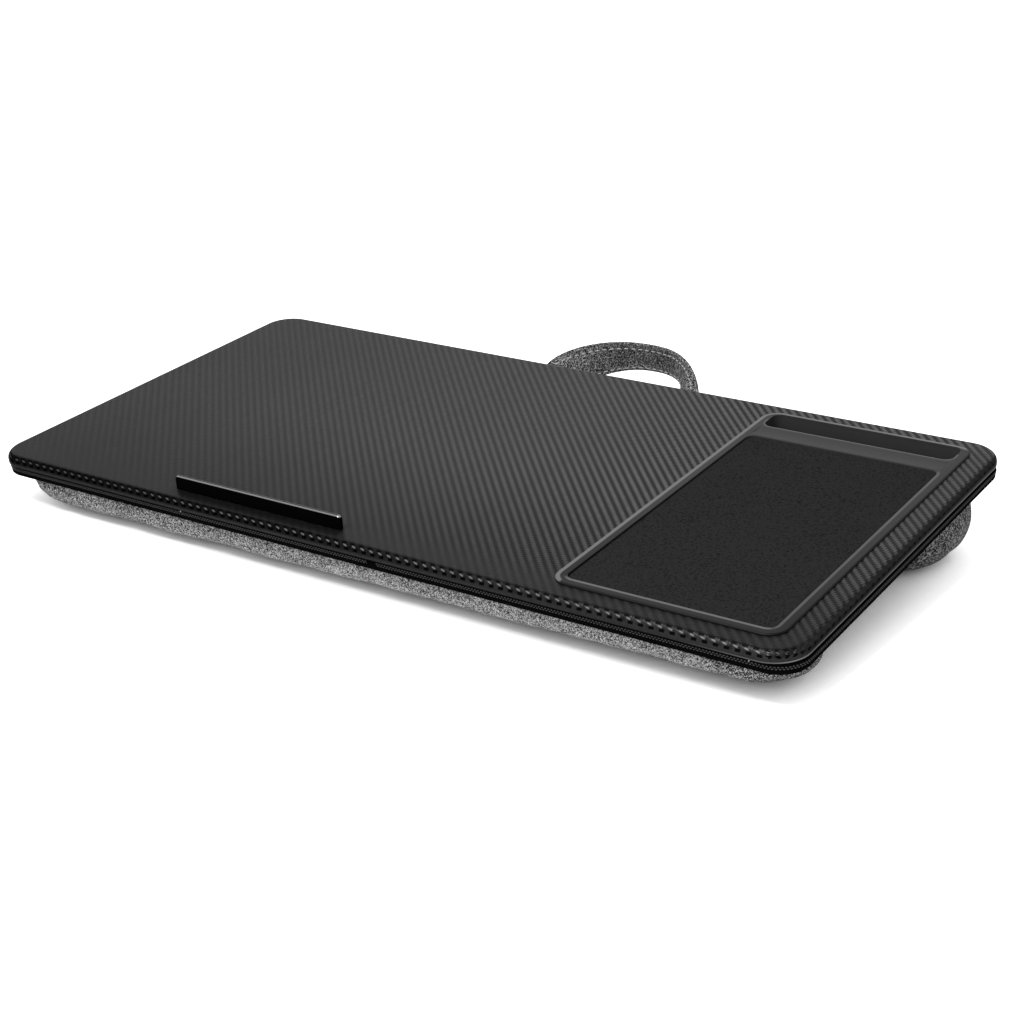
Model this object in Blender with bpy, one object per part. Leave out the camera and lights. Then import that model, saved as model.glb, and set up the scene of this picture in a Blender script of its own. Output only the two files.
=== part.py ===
"""Lap desk: a carbon-textured board with a device ledge, a mouse pad and a phone slot,
carried on a front and a rear cushion, with a sewn carrying handle at the back.

Everything is built in the board's own frame (origin in the middle of the work surface,
X to the right, Y to the back, Z square to the surface), under one empty that is tilted by
the slope of the desk, so that the cushions stand flat on Z = 0.
"""

import math
from collections import namedtuple

import bmesh
import bpy
from mathutils import Matrix, Vector

# Whole desk
DESK_WIDTH = 0.600
DESK_DEPTH = 0.310
CORNER_RADIUS = 0.022
SLOPE = math.radians(5.5)
CENTRE_HEIGHT = 0.052
GAP = 0.0003
OVERRUN = 0.004
SAME_PLACE = 0.000001
CORNER_STEPS = 8
EDGE_STEPS = 4

# Top board and the carbon-textured wrap round it
TOP_THICKNESS = 0.008
WRAP_THICKNESS = 0.0009
EDGE_ROUND = 0.0048
WRAP_HEM_WIDTH = 0.008
WRAP_HEM_ROUND = 0.0007

# Base board, its woven cover and the tape round its edge
BASE_THICKNESS = 0.0056
BAND_INSET = 0.003
TAPE_THICKNESS = 0.0007
TAPE_LAP_LENGTH = 0.007
TAPE_LAP_X = 0.021
CLOTH_THICKNESS = 0.0006
CLOTH_HEM_WIDTH = 0.006

# Tray: rim, mouse pad seat and phone slot
TRAY_WIDTH = 0.146
TRAY_SIDE_MARGIN = 0.0155
TRAY_END_MARGIN = 0.015
TRAY_CORNER = 0.012
TRAY_WALL = 0.0015
RIM_HEIGHT = 0.0014
RIM_WIDTH = 0.007
REAR_RIM_WIDTH = 0.003
RIM_ROUND = 0.0007
FLANGE_OVERLAP = 0.0015
BAR_WIDTH = 0.018
SLOT_WIDTH = 0.022
SLOT_DEPTH = 0.0124
SLOT_CORNER = 0.0065
BOSS_RADIUS = 0.0034
BOSS_X_SHARES = (-0.65, 0.65)
BOSS_Y_SHARES = (-0.85, 0.0, 0.85)
WORK_AREA_MARGIN = 0.003

# Mouse pad
PAD_CORNER = 0.006
PAD_RECESS = 0.0008
PAD_CLOTH = 0.0005
PAD_FOAM = 0.0015

# Device ledge
LEDGE_LENGTH = 0.135
LEDGE_THICKNESS = 0.0034
LEDGE_HEIGHT = 0.0095
LEDGE_X = -0.076
LEDGE_SETBACK = 0.0125
LEDGE_CORNER = 0.0028
LEDGE_ROUND = 0.0009

# Screws
SCREW_SIDES = 12
HEAD_EDGE_SHARE = 0.8
HEAD_ROUND_SHARE = 0.3
TIP_SHARE = 0.4
LEDGE_SHANK = 0.0009
LEDGE_HEAD = 0.0022
LEDGE_HEAD_HEIGHT = 0.0012
LEDGE_BITE = 0.006
LEDGE_SCREW_SHARES = (-0.4, 0.0, 0.4)
BOARD_SHANK = 0.0013
BOARD_HEAD = 0.003
BOARD_HEAD_HEIGHT = 0.0015
BOARD_BITE = 0.0035
BOARD_SCREW_INSET = 0.022
BOARD_SCREW_X_SHARES = (-1.0, -0.33, 0.33)
BOARD_SCREW_Y_SHARES = (-1.0, 1.0)
TRAY_BITE = 0.004

# Cushions
PANEL_THICKNESS = 0.0008
PANEL_INSET = 0.006
COVER_THICKNESS = 0.001
CUSHION_END_SETBACK = 0.010
CUSHION_CHANNEL = 0.083
FOOT_CORNER = 0.004
FRONT_CUSHION_SETBACK = 0.0085
FRONT_CUSHION_CORNER_SHARE = 0.567
FRONT_CUSHION_UNDERCUT = 0.024
FRONT_CUSHION_DRAW = math.radians(-35)
FRONT_CUSHION_FULLNESS_SHARE = 0.9
REAR_CUSHION_SETBACK = 0.007
REAR_CUSHION_CORNER_SHARE = 0.87
REAR_CUSHION_UNDERCUT = 0.020
REAR_CUSHION_DRAW = math.radians(-25)
REAR_CUSHION_FULLNESS_SHARE = 0.6
CUSHION_RINGS = 8
CUSHION_CORNER_STEPS = 6
CUSHION_LONG_STEPS = 12
CUSHION_SHORT_STEPS = 4

# Handle
STRAP_WIDTH = 0.026
STRAP_THICKNESS = 0.0026
STRAP_ROUND = 0.0009
HINGE_SETBACK = 0.002
HANDLE_HALF_SPAN = 0.0717
HANDLE_REACH = 0.068
HANDLE_RISE = 0.0157
HANDLE_DROP = 0.0018
HANDLE_LEAN = math.radians(15)
HANDLE_ROUNDNESS_SHARE = 1.3
LOOP_LEAD = 0.002
TAB_LENGTH = 0.022
TAB_BEND = 0.004
LOOP_STEPS = 28
BEND_STEPS = 4

# Levels and half sizes that follow from the sizes above
WRAP_LOW = -TOP_THICKNESS
CORE_HIGH = -(WRAP_THICKNESS + GAP)
CORE_LOW = WRAP_LOW + WRAP_THICKNESS + GAP
BASE_HIGH = WRAP_LOW - GAP
BASE_LOW = BASE_HIGH - BASE_THICKNESS
BASE_BOARD_HIGH = BASE_HIGH - CLOTH_THICKNESS - GAP
BASE_BOARD_LOW = BASE_LOW + CLOTH_THICKNESS + GAP
PANEL_HIGH = BASE_LOW - GAP
SEAM_LEVEL = PANEL_HIGH - PANEL_THICKNESS - GAP
HALF_WIDTH = DESK_WIDTH / 2
HALF_DEPTH = DESK_DEPTH / 2
TRAY_DEPTH = DESK_DEPTH - 2 * TRAY_END_MARGIN
TRAY_X = HALF_WIDTH - TRAY_SIDE_MARGIN - TRAY_WIDTH / 2
TRAY_BODY_X = TRAY_WIDTH / 2 - FLANGE_OVERLAP
TRAY_BODY_Y = TRAY_DEPTH / 2 - FLANGE_OVERLAP
PAD_WIDTH = TRAY_WIDTH - 2 * RIM_WIDTH
PAD_DEPTH = TRAY_DEPTH - RIM_WIDTH - BAR_WIDTH - SLOT_WIDTH - REAR_RIM_WIDTH
PAD_Y = -TRAY_DEPTH / 2 + RIM_WIDTH + PAD_DEPTH / 2
PAD_HIGH = RIM_HEIGHT - PAD_RECESS
PAD_SEAT = PAD_HIGH - PAD_CLOTH - PAD_FOAM - 2 * GAP
TRAY_BODY_LOW = PAD_SEAT - TRAY_WALL
BOSS_LOW = BASE_BOARD_HIGH + GAP
SLOT_Y = PAD_Y + PAD_DEPTH / 2 + BAR_WIDTH + SLOT_WIDTH / 2
SLOT_FLOOR = RIM_HEIGHT - SLOT_DEPTH
LEDGE_Y = -HALF_DEPTH + LEDGE_SETBACK + LEDGE_THICKNESS / 2
CUSHION_HALF_LENGTH = HALF_WIDTH - CUSHION_END_SETBACK
CUSHION_HALF_DEPTH = (DESK_DEPTH - FRONT_CUSHION_SETBACK - REAR_CUSHION_SETBACK - CUSHION_CHANNEL) / 4
HINGE_Y = HALF_DEPTH + HINGE_SETBACK
HINGE_Z = BASE_LOW - HANDLE_DROP

# A cushion's place, its corner radius, and the shape of its side: how far its foot is drawn in,
# the angle at which the side leaves the seam, and how full it swells
Cushion = namedtuple("Cushion", "middle_y corner undercut draw fullness_share")
FRONT_CUSHION = Cushion(
    -HALF_DEPTH + FRONT_CUSHION_SETBACK + CUSHION_HALF_DEPTH, FRONT_CUSHION_CORNER_SHARE * CUSHION_HALF_DEPTH,
    FRONT_CUSHION_UNDERCUT, FRONT_CUSHION_DRAW, FRONT_CUSHION_FULLNESS_SHARE,
)
REAR_CUSHION = Cushion(
    HALF_DEPTH - REAR_CUSHION_SETBACK - CUSHION_HALF_DEPTH, REAR_CUSHION_CORNER_SHARE * CUSHION_HALF_DEPTH,
    REAR_CUSHION_UNDERCUT, REAR_CUSHION_DRAW, REAR_CUSHION_FULLNESS_SHARE,
)


def clear_scene():
    for old in list(bpy.data.objects):
        bpy.data.objects.remove(old, do_unlink=True)


def new_collection(name):
    collection = bpy.data.collections.new(name)
    bpy.context.scene.collection.children.link(collection)
    return collection


def principled(name, colour, roughness, metallic=0.0):
    material = bpy.data.materials.new(name)
    material.use_nodes = True
    shader = material.node_tree.nodes["Principled BSDF"]
    shader.inputs["Base Color"].default_value = (*colour, 1.0)
    shader.inputs["Roughness"].default_value = roughness
    shader.inputs["Metallic"].default_value = metallic
    material.diffuse_color = (*colour, 1.0)
    return material


def add_piece(name, shape, material=None, place=(0, 0, 0)):
    """Turns a bmesh into an object of the desk, or into a cutter where it has no material."""
    bmesh.ops.recalc_face_normals(shape, faces=shape.faces)
    mesh = bpy.data.meshes.new(name)
    shape.to_mesh(mesh)
    shape.free()
    piece = bpy.data.objects.new(name, mesh)
    piece.location = place
    piece.parent = BOARD_FRAME
    if material is None:
        CUTTERS.objects.link(piece)
        piece.hide_render = True
        piece.display_type = "WIRE"
    else:
        DESK.objects.link(piece)
        mesh.materials.append(material)
    return piece


def carve(piece, cutter, operation="DIFFERENCE"):
    cut = piece.modifiers.new(cutter.name, "BOOLEAN")
    cut.operation = operation
    cut.solver = "EXACT"
    cut.object = cutter


def same(a, b):
    return abs(a - b) < SAME_PLACE


def edges_where(shape, wanted):
    return [e for e in shape.edges if wanted(e.verts[0].co, e.verts[1].co)]


def bevel(shape, edges, radius, steps):
    bmesh.ops.bevel(
        shape, geom=edges, offset=radius, offset_type="OFFSET", segments=steps,
        profile=0.5, affect="EDGES", clamp_overlap=False,
    )


def slab(half_x, half_y, low, high, corner, high_round=0, low_round=0):
    """A plate round the Z axis with rounded corners, and rounded top and bottom edges if asked."""
    shape = bmesh.new()
    size = Matrix.Diagonal((2 * half_x, 2 * half_y, high - low, 1))
    middle = Matrix.Translation((0, 0, (low + high) / 2))
    bmesh.ops.create_cube(shape, size=1, matrix=middle @ size)
    upright = edges_where(shape, lambda a, b: same(a.x, b.x) and same(a.y, b.y))
    bevel(shape, upright, corner, CORNER_STEPS)
    middle_level = (low + high) / 2
    if high_round:
        bevel(shape, edges_where(shape, lambda a, b: min(a.z, b.z) > middle_level), high_round, EDGE_STEPS)
    if low_round:
        bevel(shape, edges_where(shape, lambda a, b: max(a.z, b.z) < middle_level), low_round, EDGE_STEPS)
    return shape


def box(low_corner, high_corner):
    shape = bmesh.new()
    low_corner, high_corner = Vector(low_corner), Vector(high_corner)
    size = Matrix.Diagonal((*(high_corner - low_corner), 1))
    bmesh.ops.create_cube(shape, size=1, matrix=Matrix.Translation((low_corner + high_corner) / 2) @ size)
    return shape


def rod(radius, low, high, at):
    """An upright cylinder from level low to level high over the point at."""
    shape = bmesh.new()
    bmesh.ops.create_cone(
        shape, cap_ends=True, segments=SCREW_SIDES, radius1=radius, radius2=radius,
        depth=high - low, matrix=Matrix.Translation((at[0], at[1], (low + high) / 2)),
    )
    return shape


def gather(shapes):
    """Puts several shapes into one mesh, each still a body of its own."""
    whole = bmesh.new()
    for shape in shapes:
        mesh = bpy.data.meshes.new("gathered")
        shape.to_mesh(mesh)
        shape.free()
        whole.from_mesh(mesh)
        bpy.data.meshes.remove(mesh)
    return whole


def loft(rings):
    """Joins rings of as many points each with quads, and caps the first and the last ring."""
    shape = bmesh.new()
    loops = [[shape.verts.new(point) for point in ring] for ring in rings]
    for ring, after in zip(loops, loops[1:]):
        for i in range(len(ring)):
            j = (i + 1) % len(ring)
            shape.faces.new((ring[i], ring[j], after[j], after[i]))
    shape.faces.new(loops[0])
    shape.faces.new(loops[-1])
    return shape


def turned_screw(shank, head, head_height, head_low, tip_level):
    """A screw with its head at the bottom, as rings from the head's underside up to the tip."""
    profile = (
        (head * HEAD_EDGE_SHARE, head_low),
        (head, head_low + head_height * HEAD_ROUND_SHARE),
        (head, head_low + head_height),
        (shank, head_low + head_height),
        (shank, tip_level - shank),
        (shank * TIP_SHARE, tip_level),
    )
    turns = [2 * math.pi * i / SCREW_SIDES for i in range(SCREW_SIDES)]
    return loft([[(r * math.cos(t), r * math.sin(t), z) for t in turns] for r, z in profile])


def add_screws(name, screw, material, points):
    """One screw for each point, all with the same mesh."""
    first = add_piece(name + "_1", screw, material, (*points[0], 0))
    for number, point in enumerate(points[1:], start=2):
        copy = bpy.data.objects.new(f"{name}_{number}", first.data)
        copy.location = (*point, 0)
        copy.parent = BOARD_FRAME
        DESK.objects.link(copy)


def wrapped_skin(name, material, half_x, half_y, low, high, thickness, hem_width, open_below, rounds):
    """A sheet wrapped over a board and turned in at its edge: a rounded slab, hollowed for the board,
    and open on the side where the hem ends."""
    high_round, low_round = rounds
    outside = slab(half_x, half_y, low, high, outline_corner(half_x), high_round, low_round)
    skin = add_piece(name, outside, material)
    inside_x, inside_y = half_x - thickness, half_y - thickness
    hollow = slab(
        inside_x, inside_y, low + thickness, high - thickness, outline_corner(inside_x),
        max(high_round - thickness, 0), 0,
    )
    carve(skin, add_piece(name + "_hollow", hollow))
    mouth_x, mouth_y = half_x - hem_width, half_y - hem_width
    middle_level = (low + high) / 2
    mouth_low = low - OVERRUN if open_below else middle_level
    mouth_high = middle_level if open_below else high + OVERRUN
    mouth = slab(mouth_x, mouth_y, mouth_low, mouth_high, outline_corner(mouth_x))
    carve(skin, add_piece(name + "_mouth", mouth))
    return skin


def outline_corner(half_x):
    """The corner radius of a layer of the board whose sides stand half_x from the middle."""
    return CORNER_RADIUS - (HALF_WIDTH - half_x)


def tray_place():
    return (TRAY_X, 0, 0)


def window_cutter(name, low, high):
    """The opening that the tray's body drops through, with clearance all round."""
    shape = slab(
        TRAY_BODY_X + GAP, TRAY_BODY_Y + GAP, low, high, TRAY_CORNER - FLANGE_OVERLAP + GAP
    )
    return add_piece(name, shape, place=tray_place())


def boss_points():
    """Where the tray's screw bosses stand under the mouse pad, in the tray's own frame."""
    return [
        (share_x * PAD_WIDTH / 2, PAD_Y + share_y * PAD_DEPTH / 2)
        for share_x in BOSS_X_SHARES
        for share_y in BOSS_Y_SHARES
    ]


def board_screw_points():
    """Screws between the base board and the top board, round the edge and clear of the tray."""
    reach_x = HALF_WIDTH - BOARD_SCREW_INSET
    reach_y = HALF_DEPTH - BOARD_SCREW_INSET
    return [
        (share_x * reach_x, share_y * reach_y)
        for share_x in BOARD_SCREW_X_SHARES
        for share_y in BOARD_SCREW_Y_SHARES
    ]


def ledge_screw_points():
    return [(LEDGE_X + share * LEDGE_LENGTH, LEDGE_Y) for share in LEDGE_SCREW_SHARES]


def make_top_board(material):
    inset = WRAP_THICKNESS + GAP
    core = slab(
        HALF_WIDTH - inset, HALF_DEPTH - inset, CORE_LOW, CORE_HIGH, outline_corner(HALF_WIDTH - inset),
        EDGE_ROUND - inset,
    )
    board = add_piece("top_board", core, material)
    carve(board, window_cutter("top_board_window", CORE_LOW - OVERRUN, CORE_HIGH + OVERRUN))
    ledge_holes = gather(
        rod(LEDGE_SHANK + GAP, CORE_LOW - OVERRUN, CORE_HIGH + OVERRUN, point)
        for point in ledge_screw_points()
    )
    carve(board, add_piece("top_board_ledge_holes", ledge_holes))
    pilot_holes = gather(
        rod(BOARD_SHANK + GAP, CORE_LOW - OVERRUN, CORE_LOW + BOARD_BITE + GAP, point)
        for point in board_screw_points()
    )
    carve(board, add_piece("top_board_pilot_holes", pilot_holes))


def make_top_wrap(material):
    wrap = wrapped_skin(
        "top_wrap", material, HALF_WIDTH, HALF_DEPTH, WRAP_LOW, 0, WRAP_THICKNESS, WRAP_HEM_WIDTH,
        True, (EDGE_ROUND, WRAP_HEM_ROUND),
    )
    mark_work_area(wrap)
    carve(wrap, window_cutter("top_wrap_window", CORE_LOW, OVERRUN))
    ledge_holes = gather(
        rod(LEDGE_SHANK + GAP, CORE_HIGH - GAP, OVERRUN, point) for point in ledge_screw_points()
    )
    carve(wrap, add_piece("top_wrap_ledge_holes", ledge_holes))


def mark_work_area(wrap):
    """Scores the wrap's top beside the tray and behind the ledge, so that the area that a laptop
    rests on is a flat face of its own."""
    shape = bmesh.new()
    shape.from_mesh(wrap.data)
    tray_side = TRAY_X - TRAY_WIDTH / 2 - WORK_AREA_MARGIN
    ledge_back = LEDGE_Y + LEDGE_THICKNESS / 2 + WORK_AREA_MARGIN
    for point, normal in (((tray_side, 0, 0), (1, 0, 0)), ((0, ledge_back, 0), (0, 1, 0))):
        top_faces = [f for f in shape.faces if all(same(v.co.z, 0) for v in f.verts)]
        top_edges = {e for f in top_faces for e in f.edges}
        top_verts = {v for f in top_faces for v in f.verts}
        bmesh.ops.bisect_plane(
            shape, geom=[*top_faces, *top_edges, *top_verts], dist=SAME_PLACE, plane_co=point, plane_no=normal
        )
    shape.to_mesh(wrap.data)
    shape.free()


def make_tray(material):
    rim = slab(TRAY_WIDTH / 2, TRAY_DEPTH / 2, GAP, RIM_HEIGHT, TRAY_CORNER, RIM_ROUND)
    tray = add_piece("tray", rim, material, tray_place())
    joint_level = (GAP + RIM_HEIGHT) / 2
    body = slab(TRAY_BODY_X, TRAY_BODY_Y, TRAY_BODY_LOW, joint_level, TRAY_CORNER - FLANGE_OVERLAP)
    carve(tray, add_piece("tray_body", body, place=tray_place()), "UNION")
    pocket = slab(
        PAD_WIDTH / 2 + TRAY_WALL, SLOT_WIDTH / 2 + TRAY_WALL, SLOT_FLOOR - TRAY_WALL, joint_level,
        SLOT_CORNER + TRAY_WALL,
    )
    slot_place = (TRAY_X, SLOT_Y, 0)
    carve(tray, add_piece("tray_pocket", pocket, place=slot_place), "UNION")
    slot = slab(PAD_WIDTH / 2, SLOT_WIDTH / 2, SLOT_FLOOR, RIM_HEIGHT + OVERRUN, SLOT_CORNER)
    carve(tray, add_piece("tray_slot", slot, place=slot_place))
    seat = slab(PAD_WIDTH / 2, PAD_DEPTH / 2, PAD_SEAT, RIM_HEIGHT + OVERRUN, PAD_CORNER)
    carve(tray, add_piece("tray_pad_seat", seat, place=(TRAY_X, PAD_Y, 0)))
    bosses = gather(
        rod(BOSS_RADIUS, BOSS_LOW, TRAY_BODY_LOW + TRAY_WALL / 2, point) for point in boss_points()
    )
    carve(tray, add_piece("tray_bosses", bosses, place=tray_place()), "UNION")
    pilots = gather(
        rod(BOARD_SHANK + GAP, BOSS_LOW - OVERRUN, BOSS_LOW + TRAY_BITE + GAP, point)
        for point in boss_points()
    )
    carve(tray, add_piece("tray_pilot_holes", pilots, place=tray_place()))


def make_mouse_pad(cloth_material, foam_material):
    half_x, half_y = PAD_WIDTH / 2 - GAP, PAD_DEPTH / 2 - GAP
    place = (TRAY_X, PAD_Y, 0)
    foam_low = PAD_SEAT + GAP
    foam = slab(half_x, half_y, foam_low, foam_low + PAD_FOAM, PAD_CORNER)
    add_piece("mouse_pad_foam", foam, foam_material, place)
    cloth = slab(half_x, half_y, PAD_HIGH - PAD_CLOTH, PAD_HIGH, PAD_CORNER)
    add_piece("mouse_pad_cloth", cloth, cloth_material, place)


def make_device_ledge(material, screw_material):
    half_x, half_y = LEDGE_LENGTH / 2, LEDGE_THICKNESS / 2
    bar = box((-half_x, -half_y, GAP), (half_x, half_y, LEDGE_HEIGHT))
    middle_level = LEDGE_HEIGHT / 2
    top_corners = edges_where(bar, lambda a, b: same(a.x, b.x) and min(a.z, b.z) > middle_level)
    bevel(bar, top_corners, LEDGE_CORNER, EDGE_STEPS)
    outline = edges_where(bar, lambda a, b: same(a.y, b.y) and max(a.z, b.z) > middle_level)
    bevel(bar, outline, LEDGE_ROUND, EDGE_STEPS)
    ledge = add_piece("device_ledge", bar, material, (LEDGE_X, LEDGE_Y, 0))
    holes = gather(
        rod(LEDGE_SHANK + GAP, -OVERRUN, LEDGE_BITE + GAP, point) for point in ledge_screw_points()
    )
    carve(ledge, add_piece("device_ledge_holes", holes))
    head_low = CORE_LOW - GAP - LEDGE_HEAD_HEIGHT
    screw = turned_screw(LEDGE_SHANK, LEDGE_HEAD, LEDGE_HEAD_HEIGHT, head_low, LEDGE_BITE)
    add_screws("ledge_screw", screw, screw_material, ledge_screw_points())


def tray_screw_points():
    return [(TRAY_X + x, y) for x, y in boss_points()]


def make_base_board(material):
    """The board under the tray, with a hole for the phone slot's pocket, and a through hole with a
    counterbore for every screw that holds the top board or the tray."""
    screw_points = board_screw_points() + tray_screw_points()
    half_x, half_y = base_half_sizes(TAPE_THICKNESS + GAP + CLOTH_THICKNESS + GAP)
    board = add_piece(
        "base_board", slab(half_x, half_y, BASE_BOARD_LOW, BASE_BOARD_HIGH, outline_corner(half_x)), material
    )
    slot_hole = slab(
        PAD_WIDTH / 2 + TRAY_WALL + GAP, SLOT_WIDTH / 2 + TRAY_WALL + GAP, BASE_BOARD_LOW - OVERRUN,
        BASE_BOARD_HIGH + OVERRUN, SLOT_CORNER + TRAY_WALL + GAP,
    )
    carve(board, add_piece("base_board_slot_hole", slot_hole, place=(TRAY_X, SLOT_Y, 0)))
    holes = gather(
        rod(BOARD_SHANK + GAP, BASE_BOARD_LOW - OVERRUN, BASE_BOARD_HIGH + OVERRUN, point)
        for point in screw_points
    )
    carve(board, add_piece("base_board_holes", holes))
    sinks = gather(
        rod(BOARD_HEAD + GAP, BASE_BOARD_LOW - OVERRUN, BASE_BOARD_LOW + BOARD_HEAD_HEIGHT + GAP, point)
        for point in screw_points
    )
    carve(board, add_piece("base_board_counterbores", sinks))


def base_half_sizes(inset):
    return HALF_WIDTH - BAND_INSET - inset, HALF_DEPTH - BAND_INSET - inset


def make_base_cover(material):
    half_x, half_y = base_half_sizes(TAPE_THICKNESS + GAP)
    wrapped_skin(
        "base_cover", material, half_x, half_y, BASE_LOW, BASE_HIGH, CLOTH_THICKNESS, CLOTH_HEM_WIDTH,
        False, (0, 0),
    )


def make_edge_tape(material):
    """The woven tape round the base, whose ends lap over each other at the front."""
    half_x, half_y = base_half_sizes(0)
    tape = add_piece("edge_tape", slab(half_x, half_y, BASE_LOW, BASE_HIGH, outline_corner(half_x)), material)
    lap = box(
        (TAPE_LAP_X - TAPE_LAP_LENGTH / 2, -half_y - TAPE_THICKNESS, BASE_LOW),
        (TAPE_LAP_X + TAPE_LAP_LENGTH / 2, -half_y + TAPE_THICKNESS / 2, BASE_HIGH),
    )
    carve(tape, add_piece("edge_tape_lap", lap), "UNION")
    inside_x, inside_y = base_half_sizes(TAPE_THICKNESS)
    inside = slab(inside_x, inside_y, BASE_LOW - OVERRUN, BASE_HIGH + OVERRUN, outline_corner(inside_x))
    carve(tape, add_piece("edge_tape_inside", inside))


def make_board_screws(material):
    tray_screw = turned_screw(
        BOARD_SHANK, BOARD_HEAD, BOARD_HEAD_HEIGHT, BASE_BOARD_LOW, BOSS_LOW + TRAY_BITE
    )
    add_screws("tray_screw", tray_screw, material, tray_screw_points())
    base_screw = turned_screw(
        BOARD_SHANK, BOARD_HEAD, BOARD_HEAD_HEIGHT, BASE_BOARD_LOW, CORE_LOW + BOARD_BITE
    )
    add_screws("base_screw", base_screw, material, board_screw_points())


def make_cushion_panel(material):
    """The flat panel under the base that both cushion covers are sewn to."""
    half_x, half_y = base_half_sizes(PANEL_INSET - BAND_INSET)
    panel = slab(half_x, half_y, PANEL_HIGH - PANEL_THICKNESS, PANEL_HIGH, outline_corner(half_x))
    add_piece("cushion_panel", panel, material)


def floor_level(y):
    """The level, in the board's frame, of the surface that the desk stands on."""
    return -CENTRE_HEIGHT - y * math.tan(SLOPE)


def cushion_outline(half_x, half_y, corner, middle_y):
    """Points round a rounded rectangle, counter-clockwise, with the same count for every size."""
    points = []
    quarters = ((1, -1, -90), (1, 1, 0), (-1, 1, 90), (-1, -1, 180))
    for index, (side_x, side_y, start) in enumerate(quarters):
        centre = Vector((side_x * (half_x - corner), middle_y + side_y * (half_y - corner)))
        for step in range(CUSHION_CORNER_STEPS + 1):
            turn = math.radians(start + 90 * step / CUSHION_CORNER_STEPS)
            points.append(centre + corner * Vector((math.cos(turn), math.sin(turn))))
        next_x, next_y, next_start = quarters[(index + 1) % len(quarters)]
        after = Vector((next_x * (half_x - corner), middle_y + next_y * (half_y - corner)))
        after += corner * Vector((math.cos(math.radians(next_start)), math.sin(math.radians(next_start))))
        last = points[-1]
        steps = CUSHION_LONG_STEPS if next_x != side_x else CUSHION_SHORT_STEPS
        points += [last.lerp(after, step / steps) for step in range(1, steps)]
    return points


def cushion_swell(cushion):
    """How far a cushion's side stands out past its seam where it is fullest."""
    return cushion.undercut * (1 / math.cos(cushion.draw) ** cushion.fullness_share - 1)


def cushion_rings(cushion, inset):
    """Rings from the seam under the base, out round the bulging side and in to the flat foot.
    The side is part of an ellipse: it leaves the seam drawn in, swells, and turns under."""
    rings = []
    reach = cushion.undercut + cushion_swell(cushion)
    for step in range(CUSHION_RINGS):
        turn = cushion.draw + (math.pi / 2 - cushion.draw) * step / (CUSHION_RINGS - 1)
        outset = reach * max(math.cos(turn), 0) ** cushion.fullness_share - cushion.undercut - inset
        drop = (math.sin(turn) - math.sin(cushion.draw)) / (1 - math.sin(cushion.draw))
        corner = max(cushion.corner + outset, FOOT_CORNER + inset)
        outline = cushion_outline(
            CUSHION_HALF_LENGTH + outset, CUSHION_HALF_DEPTH + outset, corner, cushion.middle_y
        )
        rings.append([
            (x, y, SEAM_LEVEL + drop * (floor_level(y) + inset - SEAM_LEVEL)) for x, y in outline
        ])
    return rings


def make_cushion(name, cushion, cover_material, fill_material):
    """A cover, lofted up its outside, over its sewn rim and down its inside, and the fill in it."""
    outside = cushion_rings(cushion, 0)
    inside = cushion_rings(cushion, COVER_THICKNESS)
    add_piece(name + "_cover", loft(outside[::-1] + inside), cover_material)
    add_piece(name + "_fill", loft(cushion_rings(cushion, COVER_THICKNESS + GAP)), fill_material)


def strap_section(centre, across, through):
    """A flat strap's cross-section with rounded edges, round centre."""
    half_width, half_thickness = STRAP_WIDTH / 2, STRAP_THICKNESS / 2
    points = (
        (half_width, 0), (half_width - STRAP_ROUND, half_thickness),
        (-half_width + STRAP_ROUND, half_thickness), (-half_width, 0),
        (-half_width + STRAP_ROUND, -half_thickness), (half_width - STRAP_ROUND, -half_thickness),
    )
    return [centre + across * w + through * t for w, t in points]


def strap_loft(path):
    """A strap along stations that each hold a point of its middle line and its lean there."""
    rings = []
    for index, (centre, lean) in enumerate(path):
        before = path[max(index - 1, 0)][0]
        after = path[min(index + 1, len(path) - 1)][0]
        along = (after - before).normalized()
        outward = Vector((0, 0, 1)).cross(along).normalized()
        across = Vector((0, 0, 1)) * math.cos(lean) - outward * math.sin(lean)
        rings.append(strap_section(centre, across, along.cross(across).normalized()))
    return loft(rings)


def loop_path():
    """The loop's middle line in the hinge's own frame: it leaves square to the desk's back,
    rises and leans towards the desk up to its crest, and comes back alike."""
    middle = -STRAP_WIDTH / 2
    path = [(Vector((-HANDLE_HALF_SPAN, GAP / 2, middle)), 0)]
    for step in range(LOOP_STEPS + 1):
        turn = math.pi * step / LOOP_STEPS
        swell = math.sin(turn) if 0 < step < LOOP_STEPS else 0
        reach = LOOP_LEAD + (HANDLE_REACH - LOOP_LEAD) * swell ** HANDLE_ROUNDNESS_SHARE
        point = Vector((-HANDLE_HALF_SPAN * math.cos(turn), reach, HANDLE_RISE * swell + middle))
        path.append((point, HANDLE_LEAN * swell))
    path.append((Vector((HANDLE_HALF_SPAN, GAP / 2, middle)), 0))
    return path


def tab_path(side):
    """A tab's middle line in the hinge's own frame: flat along the rear cushion's back,
    then round a bend to where the loop starts. The side is -1 for left and 1 for right."""
    cushion_back = REAR_CUSHION.middle_y + CUSHION_HALF_DEPTH + cushion_swell(REAR_CUSHION)
    back = cushion_back + GAP + STRAP_THICKNESS / 2 - HINGE_Y
    middle = -STRAP_WIDTH / 2
    bend_x = HANDLE_HALF_SPAN + TAB_BEND
    path = [
        Vector((side * (bend_x + TAB_LENGTH), back, middle)),
        Vector((side * (bend_x + TAB_LENGTH / 2), back, middle)),
    ]
    for step in range(BEND_STEPS + 1):
        turn = math.pi / 2 * step / BEND_STEPS
        path.append(Vector((
            side * (bend_x - TAB_BEND * math.sin(turn)), back + TAB_BEND * (1 - math.cos(turn)), middle,
        )))
    path.append(Vector((side * HANDLE_HALF_SPAN, -GAP / 2, middle)))
    return [(point, 0) for point in path]


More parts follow.
